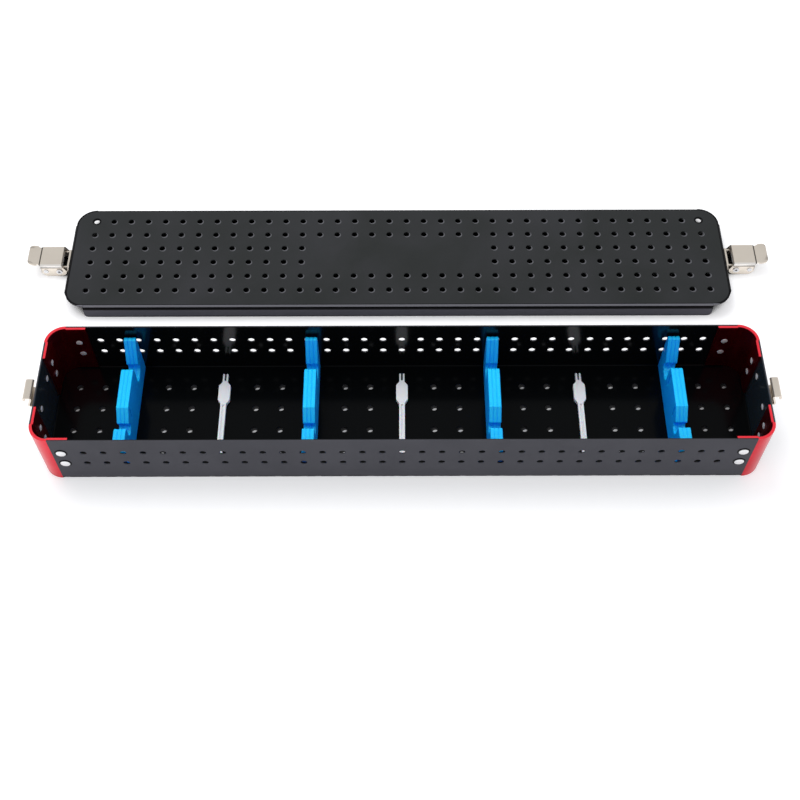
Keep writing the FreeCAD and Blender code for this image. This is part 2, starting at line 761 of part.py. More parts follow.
def make_lid_panel():
    """Fold the lid's panel with four flanges, open at the corners, and perforate it."""
    body = new_body("lid_panel", lid_x, lid_y, 0)
    long_flanges = new_sketch(body, "YZ_Plane", "long_flanges")
    channel_section(long_flanges, lid_half_width, lid_height, lid_sheet, size("lid_fold_radius"), False)
    long_pad = pad(body, long_flanges, lid_run_x * 2)
    end_flanges = new_sketch(body, "XZ_Plane", "end_flanges")
    channel_section(end_flanges, lid_half_length, lid_height, lid_sheet, size("lid_fold_radius"), False)
    pad(body, end_flanges, lid_run_y * 2)
    reach = size("lid_corner") - size("lid_corner_inset")
    corners = new_sketch(body, "XY_Plane", "corners", (0, 0, lid_height - lid_sheet))
    for side, end in ((RIGHT, BACK), (LEFT, BACK), (LEFT, FRONT), (RIGHT, FRONT)):
        outline(corners, [
            (lid_run_x * side, lid_run_y * end),
            ((lid_run_x + reach) * side, lid_run_y * end, reach, side * end),
            (lid_run_x * side, (lid_run_y + reach) * end),
        ])
    pad(body, corners, lid_sheet, "One side")

    shift = size("lid_hole_shift")
    columns, pitch, hole = size("lid_columns"), size("lid_pitch"), size("lid_hole")
    rows, side_columns = size("lid_outer_rows"), size("lid_side_columns")
    first_column = -(columns - 1) * pitch / 2
    last_start = (columns - 1) * pitch / 2 - (side_columns - 1) * pitch
    first_row = shift - pitch * 2.5
    outer_holes = new_sketch(body, "XY_Plane", "outer_holes")
    for row in (first_row, first_row + pitch * 4):
        circle(outer_holes, first_column, row, hole)
    repeat(body, cut_through(body, outer_holes), ("H_Axis", columns, pitch), ("V_Axis", rows, pitch))
    side_holes = new_sketch(body, "XY_Plane", "side_holes")
    for column in (first_column, last_start):
        circle(side_holes, column, first_row + pitch * 2, hole)
    repeat(body, cut_through(body, side_holes), ("H_Axis", side_columns, pitch), ("V_Axis", 2, pitch))

    rivet_holes = new_sketch(body, "YZ_Plane", "rivet_holes")
    for end in (FRONT, BACK):
        circle(rivet_holes, latch_line + bracket_rivet_y * end, bracket_rivet_z, bracket_hole)
    feature = cut_through(body, rivet_holes)
    document.recompute()
    spots = [FreeCAD.Vector(lid_run_x.value * side, 0, 0) for side in (LEFT, RIGHT)]
    edges = edges_along(feature, FreeCAD.Vector(0, 1, 0), spots)
    dress(body, "Fillet", feature, edges, size("lid_flange_round"))
    return body


def make_bracket(name, side):
    """Fold one latch bracket: a plate on the lid's end flange with two ears for the hinge pin."""
    body = new_body(name, lid_x + hinge_x * side, latch_y, size("hinge_height"))
    ear, strip = size("bracket_ear"), size("bracket_sheet")
    face = -size("hinge_reach") * side
    inside = face + strip * side
    low = size("bracket_bottom") - size("hinge_height")
    high = size("bracket_top") - size("hinge_height")
    plate = new_sketch(body, "XZ_Plane", "plate")
    rectangle(plate, face, low, inside, high)
    pad(body, plate, size("bracket_width"))
    ears = new_sketch(body, "XZ_Plane", "ears")
    outline(ears, [
        (face, -ear),
        (0, -ear, ear, side),
        (ear * side, 0, ear, side),
        (0, ear),
        (face, ear),
    ])
    pad(body, ears, size("bracket_width"))
    gap = new_sketch(body, "XZ_Plane", "gap")
    rectangle(gap, inside, low - 1, (ear + 1) * side, high + 1)
    cut_width(body, gap, size("bracket_width") - strip * 2)
    bore = new_sketch(body, "XZ_Plane", "bore")
    circle(bore, 0, 0, size("hinge_pin") + size("hinge_fit") * 2)
    cut_through(body, bore)
    holes = new_sketch(body, "YZ_Plane", "holes")
    for end in (FRONT, BACK):
        circle(holes, bracket_rivet_y * end, bracket_rivet_z - size("hinge_height"), bracket_hole)
    cut_through(body, holes)
    return body


def make_bracket_rivets(name, side):
    """Make the two rivets that hold one bracket on the lid's end flange."""
    body = new_body(name, lid_x, latch_y, 0)
    for end, label in ((FRONT, "front"), (BACK, "back")):
        at = ((lid_half_length + size("bracket_sheet")) * side, bracket_rivet_y * end, bracket_rivet_z)
        rivet(body, label, "H", side, at, size("bracket_sheet") + lid_sheet, size("bracket_shank"),
              size("bracket_head"), size("bracket_crown"), size("bracket_head"), size("bracket_crown"))
    return body


def make_hinge_pin(name, side):
    """Turn one tubular hinge pin with a rim at each end, outside the lever's ears."""
    body = new_body(name, lid_x + hinge_x * side, latch_y, size("hinge_height"))
    seat = size("lever_width") / 2 + size("hinge_end_play")
    end = seat + size("hinge_rim_width")
    bore, pin, rim = size("hinge_bore") / 2, size("hinge_pin") / 2, size("hinge_rim") / 2
    profile = new_sketch(body, "XY_Plane", "profile")
    outline(profile, [
        (bore, -end), (rim, -end), (rim, -seat), (pin, -seat),
        (pin, seat), (rim, seat), (rim, end), (bore, end),
    ])
    revolve(body, profile, "V_Axis")
    return body


def make_lever(name, side):
    """Fold one latch lever: a channel with shaped ears and a finger tab bent up at its end."""
    body = new_body(name, lid_x + hinge_x * side, latch_y, size("hinge_height"))
    top, depth, strip = size("lever_top"), size("lever_depth"), size("lever_sheet")
    crease, foot, width = size("lever_crease"), size("lever_foot"), size("lever_width")
    back = size("lever_back")
    silhouette = new_sketch(body, "XZ_Plane", "silhouette")
    outline(silhouette, [
        (-back * side, top),
        (-depth * side, 0, depth, side),
        (0, -depth),
        (foot * side, -depth, size("lever_bow"), side),
        (crease * side, top - strip),
        (crease * side, top),
    ])
    feature = pad(body, silhouette, width)
    document.recompute()
    rims = []
    for end in (FRONT, BACK):
        spot = FreeCAD.Vector(0, width.value / 2 * end, top.value)
        rims += edges_along(feature, FreeCAD.Vector(1, 0, 0), [spot])
    dress(body, "Fillet", feature, rims, size("lever_edge_round"))
    channel = new_sketch(body, "XZ_Plane", "channel")
    rectangle(channel, -(depth + 1) * side, -depth - 1, (crease + 1) * side, top - strip)
    cut_width(body, channel, width - strip * 2)
    tab = new_sketch(body, "XZ_Plane", "tab")
    rise = size("lever_tab") * tangent(size("lever_tab_angle"))
    tip = crease + size("lever_tab")
    outline(tab, [
        (crease * side, top - strip),
        (tip * side, top - strip + rise),
        (tip * side, top + rise),
        (crease * side, top),
    ])
    feature = pad(body, tab, size("lever_tab_width"))
    document.recompute()
    corner_edges = []
    for number, edge in enumerate(feature.Shape.Edges, start=1):
        middle = edge.CenterOfMass
        at_tip = abs(middle.x - tip.value * side) < 0.01
        at_side = abs(abs(middle.y) - SIZES["lever_tab_width"] / 2) < 0.01
        if at_tip and at_side:
            corner_edges.append("Edge%d" % number)
    dress(body, "Fillet", feature, corner_edges, size("lever_tab_round"))
    bores = new_sketch(body, "XZ_Plane", "bores")
    circle(bores, 0, 0, size("hinge_pin") + size("hinge_fit") * 2)
    circle(bores, size("hook_reach") * side, 0, size("hook_pin") + size("hook_fit") * 2)
    cut_through(body, bores)
    return body


def make_hook_pin(name, side):
    """Turn one hook pin: the cross pin that pulls on the catch, headed at both ends."""
    x = lid_x + (hinge_x + size("hook_reach")) * side
    body = new_body(name, x, latch_y, size("hinge_height"))
    seat = size("lever_width") / 2
    end = seat + size("hook_head_width")
    pin, head = size("hook_pin") / 2, size("hook_head") / 2
    profile = new_sketch(body, "XY_Plane", "profile")
    outline(profile, [
        (0, -end), (head, -end), (head, -seat), (pin, -seat),
        (pin, seat), (head, seat), (head, end), (0, end),
    ])
    revolve(body, profile, "V_Axis")
    return body


pieces = [make_tray_shell()]
for end, end_name in ((FRONT, "front"), (BACK, "back")):
    for side, side_name in ((LEFT, "left"), (RIGHT, "right")):
        place = end_name + "_" + side_name
        pieces.append(make_corner("corner_" + place, side, end))
        pieces.append(make_corner_rivets("corner_rivets_" + place, side, end))
for station, place in ((-3, "far_left"), (-1, "left"), (1, "right"), (3, "far_right")):
    pieces.append(make_support("support_" + place, station))
for station, place in ((-2, "left"), (0, "middle"), (2, "right")):
    pieces.append(make_strap("strap_" + place, station))
pieces.append(make_lid_panel())
for side, side_name in ((LEFT, "left"), (RIGHT, "right")):
    pieces.append(make_catch("catch_" + side_name, side))
    pieces.append(make_catch_rivets("catch_rivets_" + side_name, side))
    pieces.append(make_bracket("latch_bracket_" + side_name, side))
    pieces.append(make_bracket_rivets("bracket_rivets_" + side_name, side))
    pieces.append(make_hinge_pin("hinge_pin_" + side_name, side))
    pieces.append(make_lever("latch_lever_" + side_name, side))
    pieces.append(make_hook_pin("hook_pin_" + side_name, side))
document.recompute()

for item in document.Objects:
    faults = [word for word in item.State if word in ("Invalid", "Error")]
    if faults:
        raise RuntimeError("%s is %s" % (item.Label, ", ".join(faults)))
for piece in pieces:
    if piece.Shape.isNull() or not piece.Shape.isValid():
        raise RuntimeError(piece.Label + " has no valid shape")

os.makedirs("parts", exist_ok=True)
for piece in pieces:
    piece.Shape.exportStep("parts/%s.step" % piece.Label)
    print("%-26s %2d solids %9.1f mm3" % (piece.Label, len(piece.Shape.Solids), piece.Shape.Volume))
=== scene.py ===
"""Looks of a perforated sterilization container: an open instrument tray and its lift-off lid.

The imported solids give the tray, its red corner pieces, the catches, the lid, the latch brackets,
levers and pins, and this file gives them their finishes. The blue silicone supports, the white
silicone straps and the domed rivets are modelled here in full, and the levers get the necks of
their finger tabs.
"""
import json
import logging
import math
from dataclasses import dataclass, field
from enum import Enum

import bpy
from mathutils import Matrix, Vector


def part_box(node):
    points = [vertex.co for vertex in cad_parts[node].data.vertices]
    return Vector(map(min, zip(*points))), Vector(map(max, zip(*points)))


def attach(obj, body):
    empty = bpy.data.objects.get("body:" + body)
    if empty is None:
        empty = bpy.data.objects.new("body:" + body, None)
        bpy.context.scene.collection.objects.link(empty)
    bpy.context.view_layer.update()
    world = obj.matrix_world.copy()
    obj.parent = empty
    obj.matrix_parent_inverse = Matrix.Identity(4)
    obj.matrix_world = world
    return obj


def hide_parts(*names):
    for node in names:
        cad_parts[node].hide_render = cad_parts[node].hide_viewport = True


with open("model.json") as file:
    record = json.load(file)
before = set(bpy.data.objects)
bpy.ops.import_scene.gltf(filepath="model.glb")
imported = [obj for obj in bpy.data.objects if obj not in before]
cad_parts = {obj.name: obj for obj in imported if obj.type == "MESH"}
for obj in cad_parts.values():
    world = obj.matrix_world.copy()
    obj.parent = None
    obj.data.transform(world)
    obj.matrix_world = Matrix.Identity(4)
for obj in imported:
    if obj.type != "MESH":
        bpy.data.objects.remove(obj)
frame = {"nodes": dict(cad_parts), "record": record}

LOG = logging.getLogger("container")
MM = 0.001
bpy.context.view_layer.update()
RIM_MARK = "rim"
RIM_START = 0.93
CAP_CUT = 0.12
CAP_FLATNESS = 0.62
WELD = 0.002
SHANK_OVERLAP = 0.2
ARC_SHARE = 0.48

Point = tuple[float, float]
Colour = tuple[float, float, float]


class Grain(Enum):
    """How far the grain of a finish is drawn out along one axis."""

    EVEN = 1.0
    BRUSHED = 12.0


def millimetres(*values: float) -> Vector:
    """Return a point given in millimetres as a vector in metres."""
    return Vector(values) * MM


def deselect_all() -> None:
    """Leave edit mode and select nothing."""
    if bpy.context.object and bpy.context.object.mode != "OBJECT":
        bpy.ops.object.mode_set(mode="OBJECT")
    bpy.ops.object.select_all(action="DESELECT")


def select_only(piece: bpy.types.Object) -> None:
    """Make one object the only selected and active one."""
    deselect_all()
    piece.select_set(True)
    bpy.context.view_layer.objects.active = piece


def apply_modifier(piece: bpy.types.Object, kind: str, **settings: object) -> None:
    """Add a modifier, set it up and apply it.

    Args:
        piece: The object to change.
        kind: Blender's name of the modifier type.
        **settings: Properties of the modifier and their values.
    """
    select_only(piece)
    modifier = piece.modifiers.new(kind.lower(), kind)
    for name, value in settings.items():
        setattr(modifier, name, value)
    bpy.ops.object.modifier_apply(modifier=modifier.name)


def join(pieces: list[bpy.types.Object], name: str) -> bpy.types.Object:
    """Join several objects into one mesh.

    Args:
        pieces: The objects to join; the first one stays.
        name: The joined object's name.

    Returns:
        The joined object.
    """
    select_only(pieces[0])
    for piece in pieces[1:]:
        piece.select_set(True)
    bpy.ops.object.join()
    joined = bpy.context.object
    joined.name = name
    joined.data.name = name
    return joined


def settle(piece: bpy.types.Object, smooth_degrees: float = 35.0) -> None:
    """Put an object's place into its mesh, turn its faces outwards and smooth them by angle.

    Args:
        piece: The finished object.
        smooth_degrees: Edges that fold less than this are smoothed.
    """
    select_only(piece)
    bpy.ops.object.transform_apply(location=True, rotation=True, scale=True)
    bpy.ops.object.mode_set(mode="EDIT")
    bpy.ops.mesh.select_all(action="SELECT")
    bpy.ops.mesh.remove_doubles(threshold=WELD * MM)
    bpy.ops.mesh.normals_make_consistent(inside=False)
    bpy.ops.object.mode_set(mode="OBJECT")
    bpy.ops.object.shade_smooth_by_angle(angle=math.radians(smooth_degrees))


def select_where(piece: bpy.types.Object, mode: str, test: object) -> None:
    """Select the parts of a mesh that pass a test, and stay in edit mode.

    Args:
        piece: The object in question.
        mode: VERT or FACE.
        test: A function of the part that returns True for what is wanted.
    """
    select_only(piece)
    bpy.ops.object.mode_set(mode="EDIT")
    bpy.ops.mesh.select_mode(type=mode)
    bpy.ops.mesh.select_all(action="DESELECT")
    bpy.ops.object.mode_set(mode="OBJECT")
    parts = piece.data.vertices if mode == "VERT" else piece.data.polygons
    for part in parts:
        part.select = test(part)
    bpy.ops.object.mode_set(mode="EDIT")


def plate_from_outline(name: str, outline: list[Vector], push: Vector) -> bpy.types.Object:
    """Make a flat plate with the given outline and push it out to a solid.

    Args:
        name: The object's name.
        outline: The corners in order, in metres.
        push: The direction and depth of the solid, in metres.

    Returns:
        The new solid object.
    """
    deselect_all()
    bpy.ops.mesh.primitive_circle_add(vertices=len(outline), fill_type="NGON", radius=0.01)
    plate = bpy.context.object
    plate.name = name
    for vertex, corner in zip(plate.data.vertices, outline):
        vertex.co = corner
    select_where(plate, "FACE", lambda face: True)
    bpy.ops.mesh.extrude_region_move(TRANSFORM_OT_translate={"value": push})
    bpy.ops.mesh.select_all(action="SELECT")
    bpy.ops.mesh.normals_make_consistent(inside=False)
    bpy.ops.object.mode_set(mode="OBJECT")
    return plate


def cut_away(body: bpy.types.Object, cutter: bpy.types.Object) -> None:
    """Cut one solid out of another, and remove the cutter."""
    apply_modifier(body, "BOOLEAN", operation="DIFFERENCE", solver="EXACT", object=cutter)
    bpy.data.objects.remove(cutter)


def cut_across(body: bpy.types.Object, place: float) -> None:
    """Cut a ring of edges round a body, square to its length, at a place in millimetres."""
    select_where(body, "FACE", lambda face: True)
    bpy.ops.mesh.bisect(plane_co=millimetres(place, 0, 0), plane_no=(1, 0, 0))
    bpy.ops.object.mode_set(mode="OBJECT")


def rounded(corners: list[Point], radii: list[float], steps: int = 5) -> list[Point]:
    """Replace the corners of an outline by arcs.

    Args:
        corners: The corners in order.
        radii: One radius for each corner.
        steps: The number of runs in each arc.

    Returns:
        The points of the rounded outline.
    """
    points = []
    for index, corner in enumerate(corners):
        radius = radii[index]
        here = Vector(corner)
        before = Vector(corners[index - 1]) - here
        after = Vector(corners[(index + 1) % len(corners)]) - here
        half = before.angle(after) / 2
        reach = min(radius / math.tan(half), before.length * ARC_SHARE,
                    after.length * ARC_SHARE)
        start = here + before.normalized() * reach
        end = here + after.normalized() * reach
        for step in range(steps + 1):
            share = step / steps
            near = start.lerp(here, share)
            far = here.lerp(end, share)
            points.append(tuple(near.lerp(far, share)))
    return points


def drawn_in(outline: list[Point], distance: float) -> list[Point]:
    """Draw a closed outline in by a distance, corner by corner.

    Args:
        outline: The points in order, anticlockwise.
        distance: How far every side moves inwards.

    Returns:
        As many points as the outline has.
    """
    points = []
    for index, corner in enumerate(outline):
        here = Vector(corner)
        before = (here - Vector(outline[index - 1])).normalized()
        after = (Vector(outline[(index + 1) % len(outline)]) - here).normalized()
        middle = (before + after).normalized()
        inward = Vector((-middle.y, middle.x))
        reach = distance / max(middle.dot(before), 0.5)
        points.append(tuple(here + inward * reach))
    return points


class NodeGroups:
    """Shader groups that several finishes share."""

    def __init__(self) -> None:
        """Build every shared group once."""
        self.grain = self.build_grain()
        self.smudges = self.build_smudges()

    @staticmethod
    def new_group(name: str, inputs: dict[str, float], outputs: dict[str, str]) -> bpy.types.NodeTree:
        """Start a group with named sockets.

        Args:
            name: The group's name.
            inputs: Float inputs and their defaults.
            outputs: Outputs and their socket types.

        Returns:
            The new group.
        """
        group = bpy.data.node_groups.new(name, "ShaderNodeTree")
        for label, value in inputs.items():
            socket = group.interface.new_socket(label, in_out="INPUT", socket_type="NodeSocketFloat")
            socket.default_value = value
        for label, kind in outputs.items():
            group.interface.new_socket(label, in_out="OUTPUT", socket_type=kind)
        group.nodes.new("NodeGroupInput").name = "in"
        group.nodes.new("NodeGroupOutput").name = "out"
        return group

    def build_grain(self) -> bpy.types.NodeTree:
        """Build a fine grain that is stretched along one axis by choice: a mask and a normal."""
        group = self.new_group(
            "fine_grain",
            {"Scale": 900.0, "Stretch": 1.0, "Depth": 0.05, "Low": 0.25, "High": 0.4},
            {"Roughness": "NodeSocketFloat", "Normal": "NodeSocketVector"},
        )
        maker = NodeMaker(group.nodes, group.links)
        entry = group.nodes["in"].outputs
        axes = maker.axes().outputs
        squeezed = maker.sum_of("DIVIDE", axes["Y"], entry["Stretch"])
        together = maker.add("CombineXYZ", {"X": axes["X"], "Y": squeezed, "Z": axes["Z"]})
        noise = maker.add("TexNoise", {
            "Vector": together.outputs[0], "Scale": entry["Scale"], "Detail": 3.0})
        spread = maker.add("MapRange", {
            "Value": noise.outputs["Fac"], "To Min": entry["Low"], "To Max": entry["High"]})
        bump = maker.add("Bump", {
            "Height": noise.outputs["Fac"], "Strength": entry["Depth"], "Distance": 0.0001})
        maker.set_up(group.nodes["out"], {
            "Roughness": spread.outputs[0], "Normal": bump.outputs[0]})
        return group

    def build_smudges(self) -> bpy.types.NodeTree:
        """Build broad soft patches, as handling and cleaning leave them: a mask from 0 to 1."""
        group = self.new_group("smudges", {"Scale": 30.0}, {"Mask": "NodeSocketFloat"})
        maker = NodeMaker(group.nodes, group.links)
        noise = maker.add("TexNoise", {
            "Vector": maker.add("TexCoord").outputs["Object"],
            "Scale": group.nodes["in"].outputs["Scale"], "Detail": 4.0, "Distortion": 0.4})
        spread = maker.add("MapRange", {
            "Value": noise.outputs["Fac"], "From Min": 0.35, "From Max": 0.7})
        maker.set_up(group.nodes["out"], {"Mask": spread.outputs[0]})
        return group


@dataclass(frozen=True)
class Finish:
    """A finish: its colours and gloss, and the grain that breaks it up."""

    name: str
    colour: Colour
    worn_colour: Colour
    metallic: float
    roughness: Point
    grain: Grain = Grain.EVEN
    grain_scale: float = 1800.0
    grain_depth: float = 0.05
    smudge_scale: float = 35.0
    specular: float = 0.5
    coat: float = 0.0
    subsurface: float = 0.0
    coat_roughness: float = 0.12
    subsurface_scale: float = 0.003

    def build(self, groups: NodeGroups) -> bpy.types.Material:
        """Build the material.

        Args:
            groups: The shared shader groups.

        Returns:
            The new material.
        """
        material = bpy.data.materials.new(self.name)
        material.use_nodes = True
        maker = NodeMaker(material.node_tree.nodes, material.node_tree.links)
        surface = maker.nodes["Principled BSDF"]
        grain = maker.add("Group", {
            "Scale": self.grain_scale, "Stretch": self.grain.value, "Depth": self.grain_depth,
            "Low": self.roughness[0], "High": self.roughness[1],
        }, node_tree=groups.grain)
        smudges = maker.add("Group", {"Scale": self.smudge_scale}, node_tree=groups.smudges)
        blend = maker.add("Mix", {
            "Factor": smudges.outputs["Mask"],
            "A": (*self.colour, 1.0), "B": (*self.worn_colour, 1.0),
        }, data_type="RGBA")
        maker.set_up(surface, {
            "Metallic": self.metallic, "Specular IOR Level": self.specular,
            "Coat Weight": self.coat, "Coat Roughness": self.coat_roughness,
            "Subsurface Weight": self.subsurface, "Subsurface Scale": self.subsurface_scale,
            "Roughness": grain.outputs["Roughness"], "Normal": grain.outputs["Normal"],
        })
        painted = self.paint(maker, blend.outputs["Result"], surface)
        maker.feed(surface.inputs["Base Color"], painted)
        return material

    def paint(self, maker: "NodeMaker", colour: bpy.types.NodeSocket,
              surface: bpy.types.Node) -> bpy.types.NodeSocket:
        """Return the colour with what only one kind of finish adds; a plain one adds nothing."""
        return colour


@dataclass
class NodeMaker:
    """Adds small runs of nodes to one node tree."""

    nodes: bpy.types.Nodes
    links: bpy.types.NodeLinks

    def add(self, kind: str, values: dict[str, object] | None = None,
            **settings: object) -> bpy.types.Node:
        """Add a node.

        Args:
            kind: The node's type, without the words in front that all types share.
            values: Its inputs by name, each with a number, a colour or a socket.
            **settings: Its properties and their values.

        Returns:
            The new node.
        """
        node = self.nodes.new("ShaderNode" + kind)
        for name, value in settings.items():
            setattr(node, name, value)
        self.set_up(node, values or {})
        return node

    def set_up(self, node: bpy.types.Node, values: dict[str, object]) -> None:
        """Feed several inputs of a node by their names."""
        for name, value in values.items():
            self.feed(node.inputs[name], value)

    def feed(self, entry: bpy.types.NodeSocket, value: object) -> None:
        """Link a socket to an input, or set the input's own value."""
        if isinstance(value, bpy.types.NodeSocket):
            self.links.new(value, entry)
        else:
            entry.default_value = value

    def within(self, along: bpy.types.NodeSocket, across: bpy.types.NodeSocket,
               half: Point) -> bpy.types.NodeSocket:
        """Return 1 where two lengths lie under their limits in millimetres."""
        return self.sum_of("MULTIPLY", self.sum_of("LESS_THAN", along, half[0] * MM),
                           self.sum_of("LESS_THAN", across, half[1] * MM))

    def sum_of(self, kind: str, first: object, second: object) -> bpy.types.NodeSocket:
        """Add a Math node.

        Args:
            kind: The operation.
            first: A socket or a number.
            second: A socket or a number.

        Returns:
            The node's output.
        """
        node = self.add("Math", operation=kind)
        for entry, value in zip(node.inputs, (first, second)):
            self.feed(entry, value)
        return node.outputs[0]

    def axes(self) -> bpy.types.Node:
        """Return the three Object coordinates apart."""
        return self.add("SeparateXYZ", {"Vector": self.add("TexCoord").outputs["Object"]})

    def rounded_box(self, axes: bpy.types.Node, centre: Point, half: Point,
                    radius: float) -> bpy.types.NodeSocket:
        """Return the signed distance in metres to a box with rounded corners, seen from above.

        Args:
            axes: The Object coordinates apart.
            centre: The box's centre in millimetres.
            half: Half its length and half its width in millimetres.
            radius: Its corner radius in millimetres.

        Returns:
            A socket that is negative inside the box.
        """
        squares = []
        longest = None
        for name, middle, reach in zip("XY", centre, half):
            offset = self.sum_of("SUBTRACT", axes.outputs[name], middle * MM)
            past = self.sum_of("SUBTRACT", self.size_of(offset), (reach - radius) * MM)
            outer = self.sum_of("MAXIMUM", past, 0.0)
            squares.append(self.sum_of("POWER", outer, 2.0))
            longest = past if longest is None else self.sum_of("MAXIMUM", longest, past)
        length = self.sum_of("SQRT", self.sum_of("ADD", *squares), 0.0)
        inner = self.sum_of("MINIMUM", longest, 0.0)
        return self.sum_of("SUBTRACT", self.sum_of("ADD", length, inner), radius * MM)

    def near_point(self, across: object, up: object, radius: float) -> bpy.types.NodeSocket:
        """Return 1 where two offsets in metres lie within a radius in millimetres of zero."""
        square = self.sum_of("ADD", self.sum_of("POWER", self.size_of(across), 2.0),
                             self.sum_of("POWER", self.size_of(up), 2.0))
        return self.sum_of("LESS_THAN", square, (radius * MM) ** 2)

    def size_of(self, value: object) -> bpy.types.NodeSocket:
        """Return a value without its sign."""
        return self.sum_of("ABSOLUTE", value, 0.0)

    def from_row(self, value: object, pitch: float, start: float = 0.0) -> bpy.types.NodeSocket:
        """Return the offset in metres to the nearest middle of evenly spaced cells.

        Args:
            value: A length in metres.
            pitch: The cells' width in millimetres.
            start: Where one cell begins, in millimetres.

        Returns:
            A socket from minus half the pitch to plus half the pitch.
        """
        node = self.add("Math", operation="WRAP")
        for entry, part in zip(node.inputs, (value, (start + pitch) * MM, start * MM)):
            self.feed(entry, part)
        return self.sum_of("SUBTRACT", node.outputs[0], (start + pitch / 2) * MM)

    def between(self, value: bpy.types.NodeSocket, low: float, high: float) -> bpy.types.NodeSocket:
        """Return 1 where a length lies between two limits in millimetres, and 0 elsewhere."""
        return self.sum_of("MULTIPLY", self.sum_of("GREATER_THAN", value, low * MM),
                           self.sum_of("LESS_THAN", value, high * MM))

    def facing_up(self) -> bpy.types.NodeSocket:
        """Return how far a face looks up: 0 on a wall, 1 on a level top."""
        shape = self.add("NewGeometry")
        apart = self.add("SeparateXYZ", {"Vector": shape.outputs["Normal"]})
        spread = self.add("MapRange", {
            "Value": apart.outputs["Z"], "From Min": 0.15, "From Max": 0.85})
        return spread.outputs[0]

    def mix_colours(self, share: bpy.types.NodeSocket, first: bpy.types.NodeSocket,
                    second: Colour) -> bpy.types.NodeSocket:
        """Mix a colour socket with a plain colour by a share."""
        mix = self.add("Mix", {"Factor": share, "A": first, "B": (*second, 1.0)},
                       data_type="RGBA")
        return mix.outputs["Result"]


@dataclass(frozen=True)
class TwoSidedSheet(Finish):
    """Dark sheet with painted shade on its inner faces: a deeper black than the outer ones, and
    glossier; with a painted reflection on the inner end walls and painted contact shadow with dirt
    round the rivets.
    """

    inner_shade_colour: Colour = (0.0016, 0.0021, 0.0025)
    inner_half: Point = (222.4, 41.2)
    inner_floor: float = 0.6
    wall_foot: float = 1.6
    inner_gloss: float = 0.45
    inner_coat: float = 0.6
    painted_end_colour: Colour = (0.010, 0.016, 0.022)
    end_start: float = 220.5
    rivet_x: float = 205.4
    rivet_y: float = 23.9
    rivet_low: float = 18.4
    rivet_spacing: float = 12.0
    ring_radius: float = 3.9
    ring_band: Point = (13.4, 36.0)
    rivet_shadow_and_dirt_colour: Colour = (0.003, 0.003, 0.004)

    def paint(self, maker: NodeMaker, colour: bpy.types.NodeSocket,
              surface: bpy.types.Node) -> bpy.types.NodeSocket:
        """Paint shade on the faces inside the walls and above the floor, a reflection on the inner
        end walls and contact shadow with dirt round the rivets, and coat the inner walls.
        """
        axes = maker.axes()
        along = maker.size_of(axes.outputs["X"])
        across = maker.size_of(axes.outputs["Y"])
        within = maker.within(along, across, self.inner_half)
        above_floor = maker.sum_of("GREATER_THAN", axes.outputs["Z"], self.inner_floor * MM)
        on_wall = maker.sum_of("GREATER_THAN", axes.outputs["Z"], self.wall_foot * MM)
        inside = maker.sum_of("MULTIPLY", within, above_floor)
        inner_wall = maker.sum_of("MULTIPLY", within, on_wall)
        # Painted shade: the faces inside the walls and above the floor are a deeper black.
        colour = maker.mix_colours(inside, colour, self.inner_shade_colour)
        # Painted reflection: the inner end walls get a bluish-grey sheen.
        at_end = maker.sum_of("MULTIPLY", inner_wall,
                              maker.sum_of("GREATER_THAN", along, self.end_start * MM))
        colour = maker.mix_colours(at_end, colour, self.painted_end_colour)
        # Painted contact shadow with dirt: a dark ring on the outer sheet round each rivet.
        for run, place in ((along, self.rivet_x), (across, self.rivet_y)):
            offset = maker.sum_of("SUBTRACT", run, place * MM)
            height = maker.from_row(axes.outputs["Z"], self.rivet_spacing,
                                    self.rivet_low - self.rivet_spacing / 2)
            ring = maker.sum_of("MULTIPLY", maker.near_point(offset, height, self.ring_radius),
                                maker.between(axes.outputs["Z"], *self.ring_band))
            outside = maker.sum_of("SUBTRACT", 1.0, inside)
            colour = maker.mix_colours(maker.sum_of("MULTIPLY", ring, outside), colour,
                                       self.rivet_shadow_and_dirt_colour)
        smoother = maker.sum_of("MULTIPLY", inside, self.inner_gloss - 1.0)
        share = maker.sum_of("ADD", smoother, 1.0)
        rough = surface.inputs["Roughness"].links[0].from_socket
        maker.set_up(surface, {
            "Roughness": maker.sum_of("MULTIPLY", rough, share),
            "Coat Weight": maker.sum_of("MULTIPLY", inner_wall, self.inner_coat),
        })
        return colour


@dataclass(frozen=True)
class AnodisedCorner(Finish):
    """Dyed bare metal whose top rim has a painted highlight: paler and duller than its faces."""

    painted_rim_colour: Colour = (0.72, 0.010, 0.026)
    rim_level: float = 44.2

    def paint(self, maker: NodeMaker, colour: bpy.types.NodeSocket,
              surface: bpy.types.Node) -> bpy.types.NodeSocket:
        """Paint a highlight on the top rim as its paler colour, and leave the metal look to the
        faces.
        """
        axes = maker.axes()
        # Painted highlight: the top rim is a paler red, where the light falls on it.
        rim = maker.sum_of("GREATER_THAN", axes.outputs["Z"], self.rim_level * MM)
        faces = maker.sum_of("SUBTRACT", 1.0, rim)
        maker.feed(surface.inputs["Metallic"], maker.sum_of("MULTIPLY", faces, self.metallic))
        return maker.mix_colours(rim, colour, self.painted_rim_colour)


